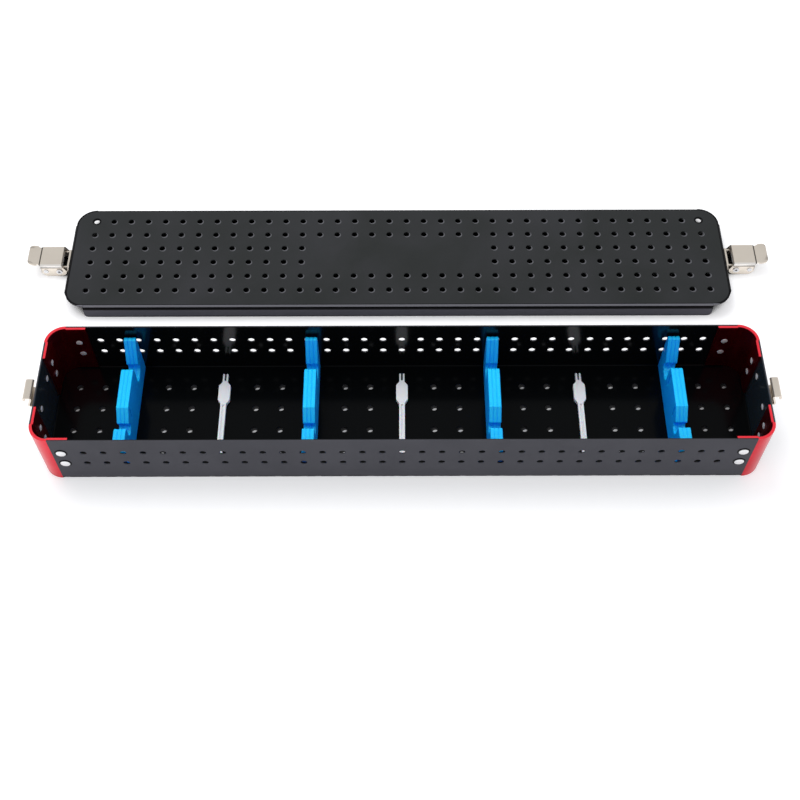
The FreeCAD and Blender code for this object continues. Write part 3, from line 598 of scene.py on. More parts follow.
@dataclass(frozen=True)
class LidSheet(Finish):
    """Dark sheet with painted shade on its outline, a painted highlight on its front bend and a
    painted reflection on the skirt below it.
    """

    centre: Point = (-2.5, 124.9)
    half: Point = (226.0, 43.2)
    radius: float = 14.5
    outline_width: float = 2.5
    painted_shade_colour: Colour = (0.004, 0.004, 0.005)
    bend_highlight_colour: Colour = (0.16, 0.16, 0.18)
    skirt_reflection_colour: Colour = (0.080, 0.080, 0.098)
    hole_pitch: float = 12.06
    hole_shift: float = 1.5
    hole_glint_offset: Point = (0.45, -0.55)
    hole_glint_radius: float = 2.2
    hole_glint_colour: Colour = (0.10, 0.10, 0.11)
    plain_half: Point = (60.3, 12.06)
    holed_half: Point = (216.0, 35.5)
    corner_hole: Point = (211.05, 31.65)
    corner_ring: float = 3.1
    front_depth: float = 2.1
    above_lid: float = 20.0
    bend_bottom: float = 9.5
    shade_bottom: float = 7.4
    skirt_bottom: float = 0.6

    def paint(self, maker: NodeMaker, colour: bpy.types.NodeSocket,
              surface: bpy.types.Node) -> bpy.types.NodeSocket:
        """Paint shade on the outline, a highlight on the front bend, shade below it and a reflection
        on its skirt, glints by the holes and shade round the back corner holes.
        """
        axes = maker.axes()
        edge = maker.rounded_box(axes, self.centre, self.half, self.radius)
        height = axes.outputs["Z"]
        front = maker.sum_of("LESS_THAN", axes.outputs["Y"],
                             (self.centre[1] - self.half[1] + self.front_depth) * MM)
        outline = maker.sum_of("GREATER_THAN", edge, -self.outline_width * MM)
        # Painted highlight: a light crescent beside each hole, where the hole's edge catches the
        # light.
        colour = maker.mix_colours(self.hole_glints(maker, axes), colour, self.hole_glint_colour)
        # Painted shade round the two back corner holes.
        colour = maker.mix_colours(self.shaded_corner_holes(maker, axes), colour, self.painted_shade_colour)
        # Painted shade: a dark band along the outline, where the edge wall is in shadow.
        colour = maker.mix_colours(outline, colour, self.painted_shade_colour)
        # Painted highlight on the upper front bend, painted shade below it and a painted reflection
        # of the table on the skirt.
        bands = (
            (self.bend_bottom, self.above_lid, self.bend_highlight_colour),
            (self.shade_bottom, self.bend_bottom, self.painted_shade_colour),
            (self.skirt_bottom, self.shade_bottom, self.skirt_reflection_colour),
        )
        for low, high, tone in bands:
            band = maker.sum_of("MULTIPLY", front, maker.between(height, low, high))
            colour = maker.mix_colours(band, colour, tone)
        return colour

    def hole_glints(self, maker: NodeMaker, axes: bpy.types.Node) -> bpy.types.NodeSocket:
        """Return 1 beside each hole, a little off its middle, where a glint of light on its edge is
        painted.
        """
        along = maker.sum_of("SUBTRACT", axes.outputs["X"], self.centre[0] * MM)
        across = maker.sum_of("SUBTRACT", axes.outputs["Y"], (self.centre[1] + self.hole_shift) * MM)
        column = maker.from_row(maker.sum_of("SUBTRACT", along, self.hole_glint_offset[0] * MM),
                                self.hole_pitch)
        row = maker.from_row(maker.sum_of("SUBTRACT", across, self.hole_glint_offset[1] * MM),
                             self.hole_pitch)
        spot = maker.near_point(column, row, self.hole_glint_radius)
        sizes = maker.size_of(along), maker.size_of(across)
        plain, holed = (maker.within(*sizes, half) for half in (self.plain_half, self.holed_half))
        return maker.sum_of("MULTIPLY", spot, maker.sum_of("SUBTRACT", holed, plain))

    def shaded_corner_holes(self, maker: NodeMaker, axes: bpy.types.Node) -> bpy.types.NodeSocket:
        """Return 1 round the two back corner holes, which sit in a dimple, where a ring of shade is
        painted.
        """
        along = maker.size_of(maker.sum_of("SUBTRACT", axes.outputs["X"], self.centre[0] * MM))
        column = maker.sum_of("SUBTRACT", along, self.corner_hole[0] * MM)
        row = maker.sum_of("SUBTRACT", axes.outputs["Y"],
                           (self.centre[1] + self.corner_hole[1]) * MM)
        return maker.near_point(column, row, self.corner_ring)


@dataclass(frozen=True)
class LatchSteel(Finish):
    """Satin steel with painted shade on the crease at the lever's finger tab and a painted highlight
    along its front bend.
    """

    crease_shade_colour: Colour = (0.10, 0.09, 0.08)
    crease: Point = (245.3, 246.1)
    centre: float = -2.5
    height: float = 9.0
    bend_highlight_colour: Colour = (1.0, 0.97, 0.93)
    bend_front: float = 118.4
    bend_bottom: float = 9.3
    seam_bottom: float = 8.4
    lever_start: float = 230.0
    plate_top: float = 12.0

    def paint(self, maker: NodeMaker, colour: bpy.types.NodeSocket,
              surface: bpy.types.Node) -> bpy.types.NodeSocket:
        """Paint shade on the crease and the seam of both levers, and a highlight on their front bend.
        """
        axes = maker.axes()
        offset = maker.sum_of("SUBTRACT", axes.outputs["X"], self.centre * MM)
        distance = maker.size_of(offset)
        # Painted shade along the crease at the finger tab.
        crease = maker.between(distance, *self.crease)
        high = maker.sum_of("GREATER_THAN", axes.outputs["Z"], self.height * MM)
        line = maker.sum_of("MULTIPLY", crease, high)
        colour = maker.mix_colours(line, colour, self.crease_shade_colour)
        plate = maker.sum_of("MULTIPLY", maker.between(distance, self.lever_start, self.crease[0]),
                             maker.sum_of("LESS_THAN", axes.outputs["Y"], self.bend_front * MM))
        # Painted highlight on the front bend, and painted shade on the seam below it.
        for low, high, tone in ((self.bend_bottom, self.plate_top, self.bend_highlight_colour),
                                (self.seam_bottom, self.bend_bottom, self.crease_shade_colour)):
            band = maker.sum_of("MULTIPLY", plate, maker.between(axes.outputs["Z"], low, high))
            colour = maker.mix_colours(band, colour, tone)
        return colour


@dataclass(frozen=True)
class RivetMetal(Finish):
    """Bright metal with painted contact shadow and dirt as a dark line round each head, where the
    sheet meets it.
    """

    painted_rim_colour: Colour = (0.02, 0.02, 0.022)

    def paint(self, maker: NodeMaker, colour: bpy.types.NodeSocket,
              surface: bpy.types.Node) -> bpy.types.NodeSocket:
        """Paint contact shadow and dirt on the rim that the mesh marks."""
        # Painted contact shadow with dirt on the marked rim of each head.
        mark = maker.add("Attribute", attribute_name=RIM_MARK)
        return maker.mix_colours(mark.outputs["Fac"], colour, self.painted_rim_colour)


@dataclass(frozen=True)
class MouldedSilicone(Finish):
    """Dyed silicone with painted shade: its sides are deeper than its moulded top faces."""

    side_shade_colour: Colour = (0.0, 0.30, 1.0)
    painted_end_colour: Colour = (0.0, 0.03, 0.14)
    end_start: float = 39.9

    def paint(self, maker: NodeMaker, colour: bpy.types.NodeSocket,
              surface: bpy.types.Node) -> bpy.types.NodeSocket:
        """Paint shade on the faces that don't look up, and darker shade on the ends that press on the
        walls.
        """
        # Painted shade: faces that don't look up get a deeper blue.
        side = maker.sum_of("SUBTRACT", 1.0, maker.facing_up())
        colour = maker.mix_colours(side, colour, self.side_shade_colour)
        # Painted shade on the ends that press against the walls.
        across = maker.size_of(maker.axes().outputs["Y"])
        end = maker.sum_of("GREATER_THAN", across, self.end_start * MM)
        colour = maker.mix_colours(maker.sum_of("MULTIPLY", end, side), colour, self.painted_end_colour)
        return colour


@dataclass
class Finishes:
    """Every finish of the container, built once."""

    groups: NodeGroups = field(default_factory=NodeGroups)

    def __post_init__(self) -> None:
        """Build the materials from their finishes."""
        self.tray_sheet = TwoSidedSheet(
            "charcoal_tray", (0.058, 0.058, 0.069), (0.068, 0.068, 0.080), 0.0, (0.30, 0.40),
            specular=0.06,
        ).build(self.groups)
        self.lid_sheet = LidSheet(
            "charcoal_lid", (0.025, 0.027, 0.027), (0.034, 0.035, 0.038), 0.0, (0.38, 0.5),
            smudge_scale=18.0, specular=0.08,
        ).build(self.groups)
        self.red = AnodisedCorner(
            "red_corner", (0.57, 0.008, 0.022), (0.72, 0.030, 0.052), 1.0, (0.24, 0.34),
        ).build(self.groups)
        self.blue = MouldedSilicone(
            "blue_silicone", (0.004, 0.52, 1.0), (0.006, 0.56, 1.0), 0.0, (0.42, 0.55),
            grain_scale=700.0, grain_depth=0.03, specular=0.3, subsurface=0.4,
        ).build(self.groups)
        self.white = Finish(
            "white_silicone", (0.80, 0.80, 0.83), (0.86, 0.86, 0.88), 0.0, (0.35, 0.45),
            grain_scale=700.0, grain_depth=0.02, specular=0.4, subsurface=0.25,
        ).build(self.groups)
        self.steel = LatchSteel(
            "satin_steel", (0.80, 0.73, 0.64), (0.86, 0.79, 0.70), 1.0, (0.32, 0.46),
            grain=Grain.BRUSHED, grain_scale=2600.0, grain_depth=0.12,
        ).build(self.groups)
        self.bright = RivetMetal(
            "bright_rivet", (0.88, 0.88, 0.89), (0.80, 0.80, 0.82), 0.5, (0.12, 0.24),
            grain_scale=2400.0,
        ).build(self.groups)


def dress(piece: bpy.types.Object, material: bpy.types.Material) -> None:
    """Give an object one material."""
    piece.data.materials.clear()
    piece.data.materials.append(material)


@dataclass
class Support:
    """One moulded silicone support with two notches, ridges along its top and three slots."""

    node: str
    thickness: float = 7.8
    bevel: float = 0.7
    bevel_steps: int = 3
    ridge_offset: float = 1.2
    ridge_width: float = 0.4
    ridge_depth: float = 0.32
    ridge_foot: float = 3.0
    # Corners of the profile as (y, z, radius), front to back over the underside and back again
    profile: tuple[tuple[float, float, float], ...] = (
        (-40.5, 1.0, 1.6), (40.5, 1.0, 1.6), (40.5, 24.0, 6.0),
        (39.6, 36.0, 1.5), (37.0, 36.0, 1.6), (28.4, 20.4, 1.6), (30.9, 18.2, 2.0),
        (29.9, 13.4, 3.2), (23.0, 12.4, 4.2), (19.3, 15.0, 3.0), (19.3, 27.6, 2.5),
        (18.2, 31.9, 3.2), (-10.0, 31.2, 1.2), (-18.0, 23.9, 1.3), (-15.1, 20.9, 1.5),
        (-15.9, 17.4, 3.0), (-20.6, 16.4, 3.4), (-23.4, 20.2, 2.0), (-23.9, 29.6, 1.7),
        (-33.4, 29.6, 2.6), (-38.4, 25.4, 3.4), (-40.5, 20.6, 3.0),
    )
    # Slots as (foot y, foot z, head y, head z)
    slots: tuple[tuple[float, float, float, float], ...] = (
        (33.0, 19.0, 35.2, 27.4), (13.0, 19.8, 14.3, 28.2), (-9.8, 19.0, -8.8, 27.4),
    )
    slot_widths: Point = (0.9, 1.7)
    slot_steps: int = 8
    peg_rows: Point = (-20.0, 20.0)
    peg_diameter: float = 4.0
    peg_depth: float = 2.2
    peg_bevel: float = 0.25

    def build(self, material: bpy.types.Material) -> bpy.types.Object:
        """Model the support where its solid stands and let it ride on the tray.

        Args:
            material: The silicone's material.

        Returns:
            The finished object.
        """
        low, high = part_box(self.node)
        centre = (low[0] + high[0]) / 2 / MM
        body = self.build_body(centre)
        pegs = [self.build_peg(centre, row) for row in self.peg_rows]
        piece = join([body] + pegs, "moulded_" + self.node)
        settle(piece, 32.0)
        apply_modifier(piece, "WEIGHTED_NORMAL", keep_sharp=True)
        dress(piece, material)
        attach(piece, "tray")
        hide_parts(self.node)
        LOG.info("%s: %d faces", piece.name, len(piece.data.polygons))
        return piece

    def build_body(self, centre: float) -> bpy.types.Object:
        """Push the profile out, soften its edges, draw the ridges and cut the slots."""
        corners = [(y, z) for y, z, radius in self.profile]
        outline = rounded(corners, [radius for y, z, radius in self.profile])
        start = centre - self.thickness / 2
        body = plate_from_outline("support_body", [millimetres(start, y, z) for y, z in outline],
                                  millimetres(self.thickness, 0, 0))
        self.soften_rims(body, centre, outline)
        self.draw_ridges(body, centre)
        for slot in self.slots:
            self.cut_slot(body, centre, slot)
        return body

    def soften_rims(self, body: bpy.types.Object, centre: float, outline: list[Point]) -> None:
        """Cut rings near both side faces and draw them in along a quarter of a circle.

        Args:
            body: The plain block.
            centre: The block's middle along the tray, in millimetres.
            outline: The profile's points in order.
        """
        rings = []
        for step in range(self.bevel_steps + 1):
            turn = math.pi / 2 * step / self.bevel_steps
            level = self.thickness / 2 - self.bevel * (1 - math.sin(turn))
            rings.append((level, drawn_in(outline, self.bevel * (1 - math.cos(turn)))))
        for level, ring in rings[:-1]:
            for side in (-1, 1):
                cut_across(body, centre + side * level)
        for vertex in body.data.vertices:
            across = abs(vertex.co.x / MM - centre)
            place = Vector((vertex.co.y, vertex.co.z)) / MM
            for level, ring in rings[1:]:
                if abs(across - level) < 0.01:
                    nearest = min(range(len(outline)),
                                  key=lambda index: (Vector(outline[index]) - place).length)
                    vertex.co.y, vertex.co.z = (value * MM for value in ring[nearest])
        body.data.update()

    def draw_ridges(self, body: bpy.types.Object, centre: float) -> None:
        """Press two shallow lines along the top, as the mould leaves them."""
        for offset in (-self.ridge_offset, self.ridge_offset):
            for shift in (-self.ridge_width, 0.0, self.ridge_width):
                cut_across(body, centre + offset + shift)
            line = (centre + offset) * MM
            foot = self.ridge_foot * MM
            select_where(body, "VERT", lambda v: abs(v.co.x - line) < 1e-6 and v.co.z > foot)
            bpy.ops.transform.shrink_fatten(value=-self.ridge_depth * MM)
            bpy.ops.object.mode_set(mode="OBJECT")

    def cut_slot(self, body: bpy.types.Object, centre: float, slot: tuple[float, ...]) -> None:
        """Cut one flex slot right through: narrow at its foot and wider at its head."""
        points = []
        for (y, z), width, first in ((slot[:2], self.slot_widths[0], math.pi),
                                     (slot[2:], self.slot_widths[1], 0.0)):
            for step in range(self.slot_steps + 1):
                turn = first + math.pi * step / self.slot_steps
                points.append((y + width / 2 * math.cos(turn), z + width / 2 * math.sin(turn)))
        side = centre - self.thickness
        cutter = plate_from_outline("slot_cutter", [millimetres(side, y, z) for y, z in points],
                                    millimetres(self.thickness * 2, 0, 0))
        cut_away(body, cutter)

    def build_peg(self, centre: float, row: float) -> bpy.types.Object:
        """Model one peg with a softened end, from inside the block down to the underside."""
        deselect_all()
        bpy.ops.mesh.primitive_cylinder_add(
            vertices=32, radius=self.peg_diameter / 2 * MM, depth=self.peg_depth * MM,
            location=millimetres(centre, row, self.peg_depth / 2))
        peg = bpy.context.object
        apply_modifier(peg, "BEVEL", width=self.peg_bevel * MM, segments=2, limit_method="ANGLE")
        return peg


@dataclass
class Strap:
    """One flat silicone strap: a grooved stem, an arrow head and a split nub."""

    node: str
    top: float = 4.0
    floor: float = 1.0
    bevel: float = 0.5
    groove_width: float = 1.3
    groove_depth: float = 1.1
    groove_length: float = 38.0
    groove_middle: float = -10.0
    groove_bevel: float = 0.3
    # Right half of the outline as (x, y, radius), from the front to the foot of the nub's split
    half_outline: tuple[tuple[float, float, float], ...] = (
        (1.8, -28.0, 0.8), (1.8, 9.8, 1.5), (3.75, 12.8, 1.4), (3.75, 23.6, 1.4),
        (1.7, 26.2, 0.5), (1.7, 32.5, 0.35), (0.6, 32.5, 0.2), (0.6, 27.3, 0.3),
    )

    def build(self, material: bpy.types.Material) -> bpy.types.Object:
        """Model the strap on the tray's floor where its solid lies.

        Args:
            material: The silicone's material.

        Returns:
            The finished object.
        """
        low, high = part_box(self.node)
        centre = (low[0] + high[0]) / 2 / MM
        right = list(self.half_outline)
        left = [(-x, y, radius) for x, y, radius in reversed(right)]
        corners = [(x, y) for x, y, radius in right + left]
        outline = rounded(corners, [radius for x, y, radius in right + left])
        body = plate_from_outline("strap_body",
                                  [millimetres(centre + x, y, self.floor) for x, y in outline],
                                  millimetres(0, 0, self.top - self.floor))
        apply_modifier(body, "BEVEL", width=self.bevel * MM, segments=3, limit_method="ANGLE",
                       angle_limit=math.radians(60))
        self.cut_block(body, (centre, self.groove_middle, self.top),
                       (self.groove_width, self.groove_length, self.groove_depth * 2))
        body.name = "moulded_" + self.node
        settle(body, 32.0)
        dress(body, material)
        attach(body, "tray")
        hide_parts(self.node)
        LOG.info("%s: %d faces", body.name, len(body.data.polygons))
        return body

    def cut_block(self, body: bpy.types.Object, middle: tuple[float, ...],
                  size: tuple[float, ...]) -> None:
        """Cut a soft-edged block out of the strap.

        Args:
            body: The strap.
            middle: The block's middle in millimetres.
            size: The block's size in millimetres.
        """
        deselect_all()
        bpy.ops.mesh.primitive_cube_add(size=1.0, location=millimetres(*middle),
                                        scale=millimetres(*size))
        cutter = bpy.context.object
        select_only(cutter)
        bpy.ops.object.transform_apply(location=True, rotation=True, scale=True)
        apply_modifier(cutter, "BEVEL", width=self.groove_bevel * MM, segments=2)
        cut_away(body, cutter)


@dataclass
class RivetForm:
    """The form of one rivet: a low dome outside, a shank and a clenched tail inside."""

    head: float
    crown: float
    shank: float
    grip: float
    tail: float
    tail_depth: float

    def build(self, seat: Vector, outward: Vector) -> bpy.types.Object:
        """Model one rivet on its seat.

        Args:
            seat: The middle of the head's seat, in metres.
            outward: The unit direction from the seat to the crown.

        Returns:
            The rivet.
        """
        dome = self.build_cap(self.head, self.crown, 1.0, 0.0)
        tail = self.build_cap(self.tail, self.tail_depth, -1.0, -self.grip)
        deselect_all()
        bpy.ops.mesh.primitive_cylinder_add(
            vertices=28, radius=self.shank / 2 * MM, depth=(self.grip + SHANK_OVERLAP) * MM,
            location=millimetres(0, 0, -self.grip / 2))
        shank = bpy.context.object
        rivet = join([dome, tail, shank], "rivet")
        turn = outward.to_track_quat("Z", "Y").to_matrix().to_4x4()
        rivet.data.transform(Matrix.Translation(seat) @ turn @ rivet.matrix_world)
        rivet.matrix_world = Matrix.Identity(4)
        return rivet

    @staticmethod
    def build_cap(diameter: float, rise: float, way: float, level: float) -> bpy.types.Object:
        """Model a flattened cap from a sphere that is cut at its rim.

        Args:
            diameter: The cap's diameter in millimetres.
            rise: Its height in millimetres.
            way: 1 for a cap that points up, -1 for one that points down.
            level: The height of its flat face in millimetres.

        Returns:
            The cap.
        """
        deselect_all()
        bpy.ops.mesh.primitive_uv_sphere_add(segments=36, ring_count=20, radius=1.0)
        cap = bpy.context.object
        bpy.ops.object.mode_set(mode="EDIT")
        bpy.ops.mesh.select_all(action="SELECT")
        bpy.ops.mesh.bisect(plane_co=(0, 0, CAP_CUT), plane_no=(0, 0, 1), use_fill=True,
                            clear_inner=True)
        bpy.ops.object.mode_set(mode="OBJECT")
        rim = math.sqrt(1 - CAP_CUT ** 2)
        mark = cap.data.attributes.new(RIM_MARK, "FLOAT", "POINT")
        for index, vertex in enumerate(cap.data.vertices):
            reach = math.hypot(vertex.co.x, vertex.co.y) / rim
            mark.data[index].value = 1.0 if reach > RIM_START else 0.0
            lifted = max(vertex.co.z - CAP_CUT, 0.0) / (1 - CAP_CUT)
            vertex.co.z = way * rise * MM * lifted ** CAP_FLATNESS
        spread = diameter / 2 / rim * MM
        cap.data.transform(Matrix.Diagonal((spread, spread, 1.0, 1.0)))
        cap.data.transform(Matrix.Translation((0, 0, level * MM)))
        return cap


@dataclass
class RivetSet:
    """The rivets that one node of the solid model stands for."""

    node: str
    body: str
    form: RivetForm
    # Each place is (seat in millimetres, outward direction)
    places: list[tuple[tuple[float, float, float], tuple[float, float, float]]]

    def build(self, material: bpy.types.Material) -> bpy.types.Object:
        """Model the set and let it stand for its node.

        Args:
            material: The rivets' material.

        Returns:
            The joined rivets.
        """
        rivets = [self.form.build(millimetres(*seat), Vector(way)) for seat, way in self.places]
        piece = join(rivets, "domed_" + self.node)
        settle(piece, 40.0)
        dress(piece, material)
        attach(piece, self.body)
        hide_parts(self.node)
        LOG.info("%s: %d rivets", piece.name, len(rivets))
        return piece


@dataclass
class LeverTrim:
    """Cuts the neck between a lever's plate and its finger tab."""

    node: str
    body: str
    side: int
    centre: Point = (-2.5, 125.7)
    notch_x: float = 246.7
    notch_y: float = 9.1
    notch_z: float = 10.0
    notch_radius: float = 1.7
    notch_depth: float = 12.0

    def build(self, material: bpy.types.Material) -> bpy.types.Object:
        """Copy the lever's solid, cut the neck and let the copy stand for it.

        Args:
            material: The lever's steel.

        Returns:
            The trimmed lever.
        """
        deselect_all()
        lever = frame["nodes"][self.node].copy()
        lever.data = lever.data.copy()
        lever.name = "necked_" + self.node
        lever.parent = None
        lever.matrix_world = Matrix.Identity(4)
        bpy.context.scene.collection.objects.link(lever)
        select_where(lever, "FACE", lambda face: True)
        bpy.ops.mesh.remove_doubles(threshold=WELD * MM)
        bpy.ops.object.mode_set(mode="OBJECT")
        for end in (-1, 1):
            place = (self.centre[0] + self.notch_x * self.side,
                     self.centre[1] + self.notch_y * end, self.notch_z)
            deselect_all()
            bpy.ops.mesh.primitive_cylinder_add(vertices=32, radius=self.notch_radius * MM,
                                                depth=self.notch_depth * MM,
                                                location=millimetres(*place))
            cutter = bpy.context.object
            cut_away(lever, cutter)
        settle(lever, 30.0)
        dress(lever, material)
        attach(lever, self.body)
        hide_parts(self.node)
        LOG.info("%s: %d faces", lever.name, len(lever.data.polygons))
        return lever


@dataclass
class Container:
    """The whole container: dressed solids and the pieces that are modelled here."""

    finishes: Finishes
    corner_rivet: RivetForm = field(default_factory=lambda: RivetForm(6.3, 1.1, 3.0, 2.4, 4.5, 0.8))
    catch_rivet: RivetForm = field(default_factory=lambda: RivetForm(5.0, 0.9, 3.0, 2.0, 4.5, 0.8))
    bracket_rivet: RivetForm = field(default_factory=lambda: RivetForm(3.6, 0.7, 2.0, 2.2, 3.6, 0.7))
    rivet_rows: Point = (18.4, 30.4)
    half_length: float = 223.0
    half_width: float = 41.8
    corner_rivet_x: float = 205.4
    corner_rivet_y: float = 23.9
    latch_line: float = 0.8
    lid_centre: Point = (-2.5, 124.9)
    lid_half_length: float = 226.0
    catch_sheet: float = 1.0
    catch_spread: float = 11.1
    catch_row: float = 30.4
    bracket_sheet: float = 1.2
    bracket_spread: float = 4.0
    bracket_row: float = 4.5

    def build(self) -> None:
        """Dress the solids, then model supports, straps and rivets."""
        self.dress_solids()
        for node in sorted(name for name in frame["nodes"] if name.startswith("support_")):
            Support(node).build(self.finishes.blue)
        for node in sorted(name for name in frame["nodes"] if name.startswith("strap_")):
            Strap(node).build(self.finishes.white)
        for side, side_name in ((-1, "left"), (1, "right")):
            LeverTrim("latch_lever_" + side_name, "lever_" + side_name,
                      side).build(self.finishes.steel)
        self.build_rivets()

    def dress_solids(self) -> None:
        """Give every solid its finish."""
        look = {
            "charcoal_sheet": self.finishes.tray_sheet,
            "red_corners": self.finishes.red,
            "blue_silicone": self.finishes.blue,
            "white_silicone": self.finishes.white,
            "latch_steel": self.finishes.steel,
            "bright_rivets": self.finishes.bright,
        }
        slots = {part["node"]: part["material_slot"] for part in frame["record"]["subparts"]}
        for name, node in frame["nodes"].items():
            material = self.finishes.lid_sheet if name == "lid_panel" else look[slots[name]]
            dress(node, material)
        LOG.info("dressed %d solids", len(frame["nodes"]))

    def build_rivets(self) -> None:
        """Model the rivets of the corners, catches and brackets."""
        for end, end_name in ((-1, "front"), (1, "back")):
            for side, side_name in ((-1, "left"), (1, "right")):
                places = []
                for row in self.rivet_rows:
                    places.append(((self.corner_rivet_x * side, self.half_width * end, row),
                                   (0, end, 0)))
                    places.append(((self.half_length * side, self.corner_rivet_y * end, row),
                                   (side, 0, 0)))
                node = "corner_rivets_%s_%s" % (end_name, side_name)
                RivetSet(node, "tray", self.corner_rivet, places).build(self.finishes.bright)
        for side, side_name in ((-1, "left"), (1, "right")):
            seat = (self.half_length + self.catch_sheet) * side
            places = [((seat, self.latch_line + self.catch_spread * end, self.catch_row),
                       (side, 0, 0)) for end in (-1, 1)]
            RivetSet("catch_rivets_" + side_name, "tray", self.catch_rivet,
                     places).build(self.finishes.bright)
            seat = self.lid_centre[0] + (self.lid_half_length + self.bracket_sheet) * side
            line = self.lid_centre[1] + self.latch_line
            places = [((seat, line + self.bracket_spread * end, self.bracket_row), (side, 0, 0))
                      for end in (-1, 1)]
            RivetSet("bracket_rivets_" + side_name, "lid", self.bracket_rivet,
                     places).build(self.finishes.bright)


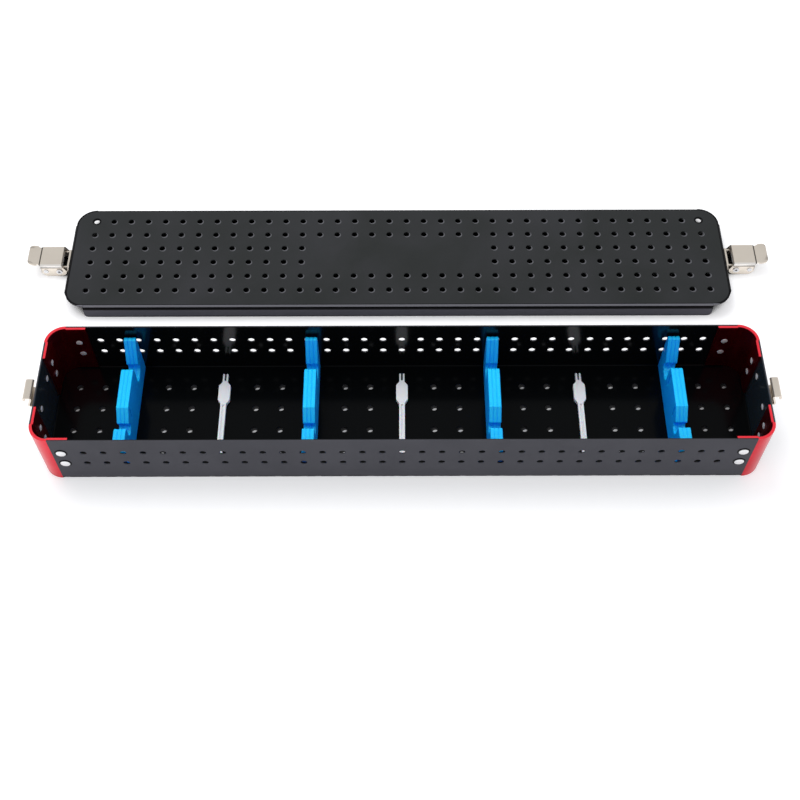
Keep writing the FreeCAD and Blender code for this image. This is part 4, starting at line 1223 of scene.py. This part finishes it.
@dataclass
class Studio:
    """A white table in a bright, even room, with one soft key lamp, and the camera."""

    camera_place: tuple[float, float, float] = (-1.55, -407.48, 670.32)
    camera_lens: float = 55.075
    camera_tilt: float = 32.196
    camera_yaw: float = 0.037
    camera_roll: float = 0.126
    room_level: float = 0.92
    wall_level: float = 0.9
    ceiling_level: float = 0.85
    ceiling_band: Point = (0.45, 0.72)
    room_colour: Colour = (0.97, 0.98, 1.0)
    floor_size: float = 6.0
    floor_drop: float = 0.00005
    floor_colour: Colour = (0.86, 0.86, 0.87)
    floor_glow: float = 0.30
    gap_reach: float = 60.0
    closed_share: float = 0.22
    open_share: float = 0.46
    tray_half: Point = (222.6, 41.4)
    tray_corner: float = 12.0
    under_tray: float = 0.02
    spot_level: float = 0.38
    spot_offset: Point = (0.8, -2.0)
    spot_radius: float = 2.1
    bay_pitch: float = 57.4
    pair_spacing: float = 16.3
    floor_pitch: float = 16.1
    key_watts: float = 6.0
    key_size: Point = (0.9, 0.6)
    key_place: tuple[float, float, float] = (-0.35, 0.55, 1.1)
    key_target: tuple[float, float, float] = (0.0, 0.05, 0.0)

    def build(self) -> None:
        """Make the floor, the room, the lamp and the camera."""
        self.build_floor()
        self.build_room()
        self.build_key()
        self.build_camera()
        bpy.context.scene.view_settings.view_transform = "Standard"

    def build_floor(self) -> None:
        """Lay the white table that the container rests on."""
        deselect_all()
        bpy.ops.mesh.primitive_plane_add(size=self.floor_size, location=(0, 0, -self.floor_drop))
        floor = bpy.context.object
        floor.name = "table"
        material = bpy.data.materials.new("white_table")
        material.use_nodes = True
        maker = NodeMaker(material.node_tree.nodes, material.node_tree.links)
        shade = self.painted_table_shade(maker)
        tint = maker.add("Mix", {
            "Factor": shade, "A": (0.0, 0.0, 0.0, 1.0), "B": (*self.floor_colour, 1.0),
        }, data_type="RGBA")
        glow = maker.sum_of("MULTIPLY", self.seen_directly(maker, self.floor_glow), shade)
        maker.set_up(maker.nodes["Principled BSDF"], {
            "Roughness": 0.8, "Specular IOR Level": 0.1, "Emission Color": (1.0, 1.0, 1.0, 1.0),
            "Base Color": tint.outputs["Result"], "Emission Strength": glow,
        })
        floor.data.materials.append(material)

    def painted_table_shade(self, maker: NodeMaker) -> bpy.types.NodeSocket:
        """Return the table's painted shade: low under the tray and in closed gaps, with painted pools
        of light under the floor holes, and 1 elsewhere.
        """
        gaps = maker.add("AmbientOcclusion", {"Distance": self.gap_reach * MM}, samples=16)
        spread = maker.add("MapRange", {
            "Value": gaps.outputs["AO"], "From Min": self.closed_share,
            "From Max": self.open_share,
        }, interpolation_type="SMOOTHSTEP")
        openness = spread.outputs[0]
        # Painted shadow: a mask darkens the table under the tray, apart from painted pools of light
        # under the floor holes.
        edge = maker.rounded_box(maker.axes(), (0.0, 0.0), self.tray_half, self.tray_corner)
        under = maker.sum_of("LESS_THAN", edge, 0.0)
        spots = maker.sum_of("MULTIPLY", self.lit_spots(maker), self.spot_level - self.under_tray)
        covered = maker.sum_of("ADD", spots, self.under_tray)
        loss = maker.sum_of("MULTIPLY", under, maker.sum_of("SUBTRACT", 1.0, covered))
        return maker.sum_of("MULTIPLY", openness, maker.sum_of("SUBTRACT", 1.0, loss))

    def lit_spots(self, maker: NodeMaker) -> bpy.types.NodeSocket:
        """Return 1 where light falls through the tray's floor holes, a little off their middles."""
        axes = maker.axes()
        along = maker.sum_of("SUBTRACT", axes.outputs["X"], self.spot_offset[0] * MM)
        across = maker.sum_of("SUBTRACT", axes.outputs["Y"], self.spot_offset[1] * MM)
        in_bay = maker.from_row(along, self.bay_pitch)
        column = maker.from_row(in_bay, self.pair_spacing)
        row = maker.from_row(across, self.floor_pitch)
        return maker.near_point(column, row, self.spot_radius)

    @staticmethod
    def seen_directly(maker: NodeMaker, level: float) -> bpy.types.NodeSocket:
        """Return a level that holds for camera, glossy and transmission rays and is 0 for others."""
        rays = maker.add("LightPath").outputs
        total = maker.sum_of("MAXIMUM", rays["Is Camera Ray"], rays["Is Glossy Ray"])
        total = maker.sum_of("MAXIMUM", total, rays["Is Transmission Ray"])
        return maker.sum_of("MULTIPLY", total, level)

    def build_room(self) -> None:
        """Light the scene evenly; reflections see bright walls and a dim ceiling."""
        world = bpy.data.worlds.new("room")
        bpy.context.scene.world = world
        world.use_nodes = True
        maker = NodeMaker(world.node_tree.nodes, world.node_tree.links)
        maker.nodes.clear()
        axes = maker.add("SeparateXYZ", {"Vector": maker.add("TexCoord").outputs["Generated"]})
        fade = maker.add("MapRange", {
            "Value": axes.outputs["Z"], "From Min": self.ceiling_band[0],
            "From Max": self.ceiling_band[1], "To Min": self.wall_level,
            "To Max": self.ceiling_level,
        }, interpolation_type="SMOOTHSTEP")
        even = maker.add("Background", {
            "Color": (*self.room_colour, 1.0), "Strength": self.room_level})
        reflected = maker.add("Background", {"Strength": fade.outputs[0]})
        white = maker.add("Background", {"Color": (1.0, 1.0, 1.0, 1.0), "Strength": 1.0})
        rays = maker.add("LightPath").outputs
        light = even.outputs[0]
        for ray, seen in (("Is Glossy Ray", reflected), ("Is Camera Ray", white)):
            mix = maker.add("MixShader")
            for entry, part in zip(mix.inputs, (rays[ray], light, seen.outputs[0])):
                maker.feed(entry, part)
            light = mix.outputs[0]
        maker.feed(maker.add("OutputWorld").inputs["Surface"], light)

    def build_key(self) -> None:
        """Hang one large soft lamp above, behind and to the left."""
        lamp = bpy.data.lights.new("key", "AREA")
        lamp.shape = "RECTANGLE"
        lamp.size, lamp.size_y = self.key_size
        lamp.energy = self.key_watts
        holder = bpy.data.objects.new("key", lamp)
        holder.location = self.key_place
        aim = Vector(self.key_target) - holder.location
        holder.rotation_euler = aim.to_track_quat("-Z", "Y").to_euler()
        holder.visible_glossy = False
        bpy.context.scene.collection.objects.link(holder)

    def build_camera(self) -> None:
        """Stand the camera where the photograph was taken from."""
        lens = bpy.data.cameras.new("camera")
        lens.sensor_width = 36.0
        lens.lens = self.camera_lens
        lens.clip_start = 0.05
        lens.clip_end = 20.0
        camera = bpy.data.objects.new("camera", lens)
        turn = (Matrix.Rotation(math.radians(-self.camera_yaw), 4, "Z")
                @ Matrix.Rotation(math.radians(self.camera_tilt), 4, "X")
                @ Matrix.Rotation(math.radians(-self.camera_roll), 4, "Z"))
        camera.matrix_world = Matrix.Translation(millimetres(*self.camera_place)) @ turn
        bpy.context.scene.collection.objects.link(camera)
        bpy.context.scene.camera = camera


def main() -> None:
    """Build the studio and the container."""
    logging.basicConfig(level=logging.INFO, format="%(name)s: %(message)s")
    Studio().build()
    Container(Finishes()).build()


if __name__ == "__main__":
    main()
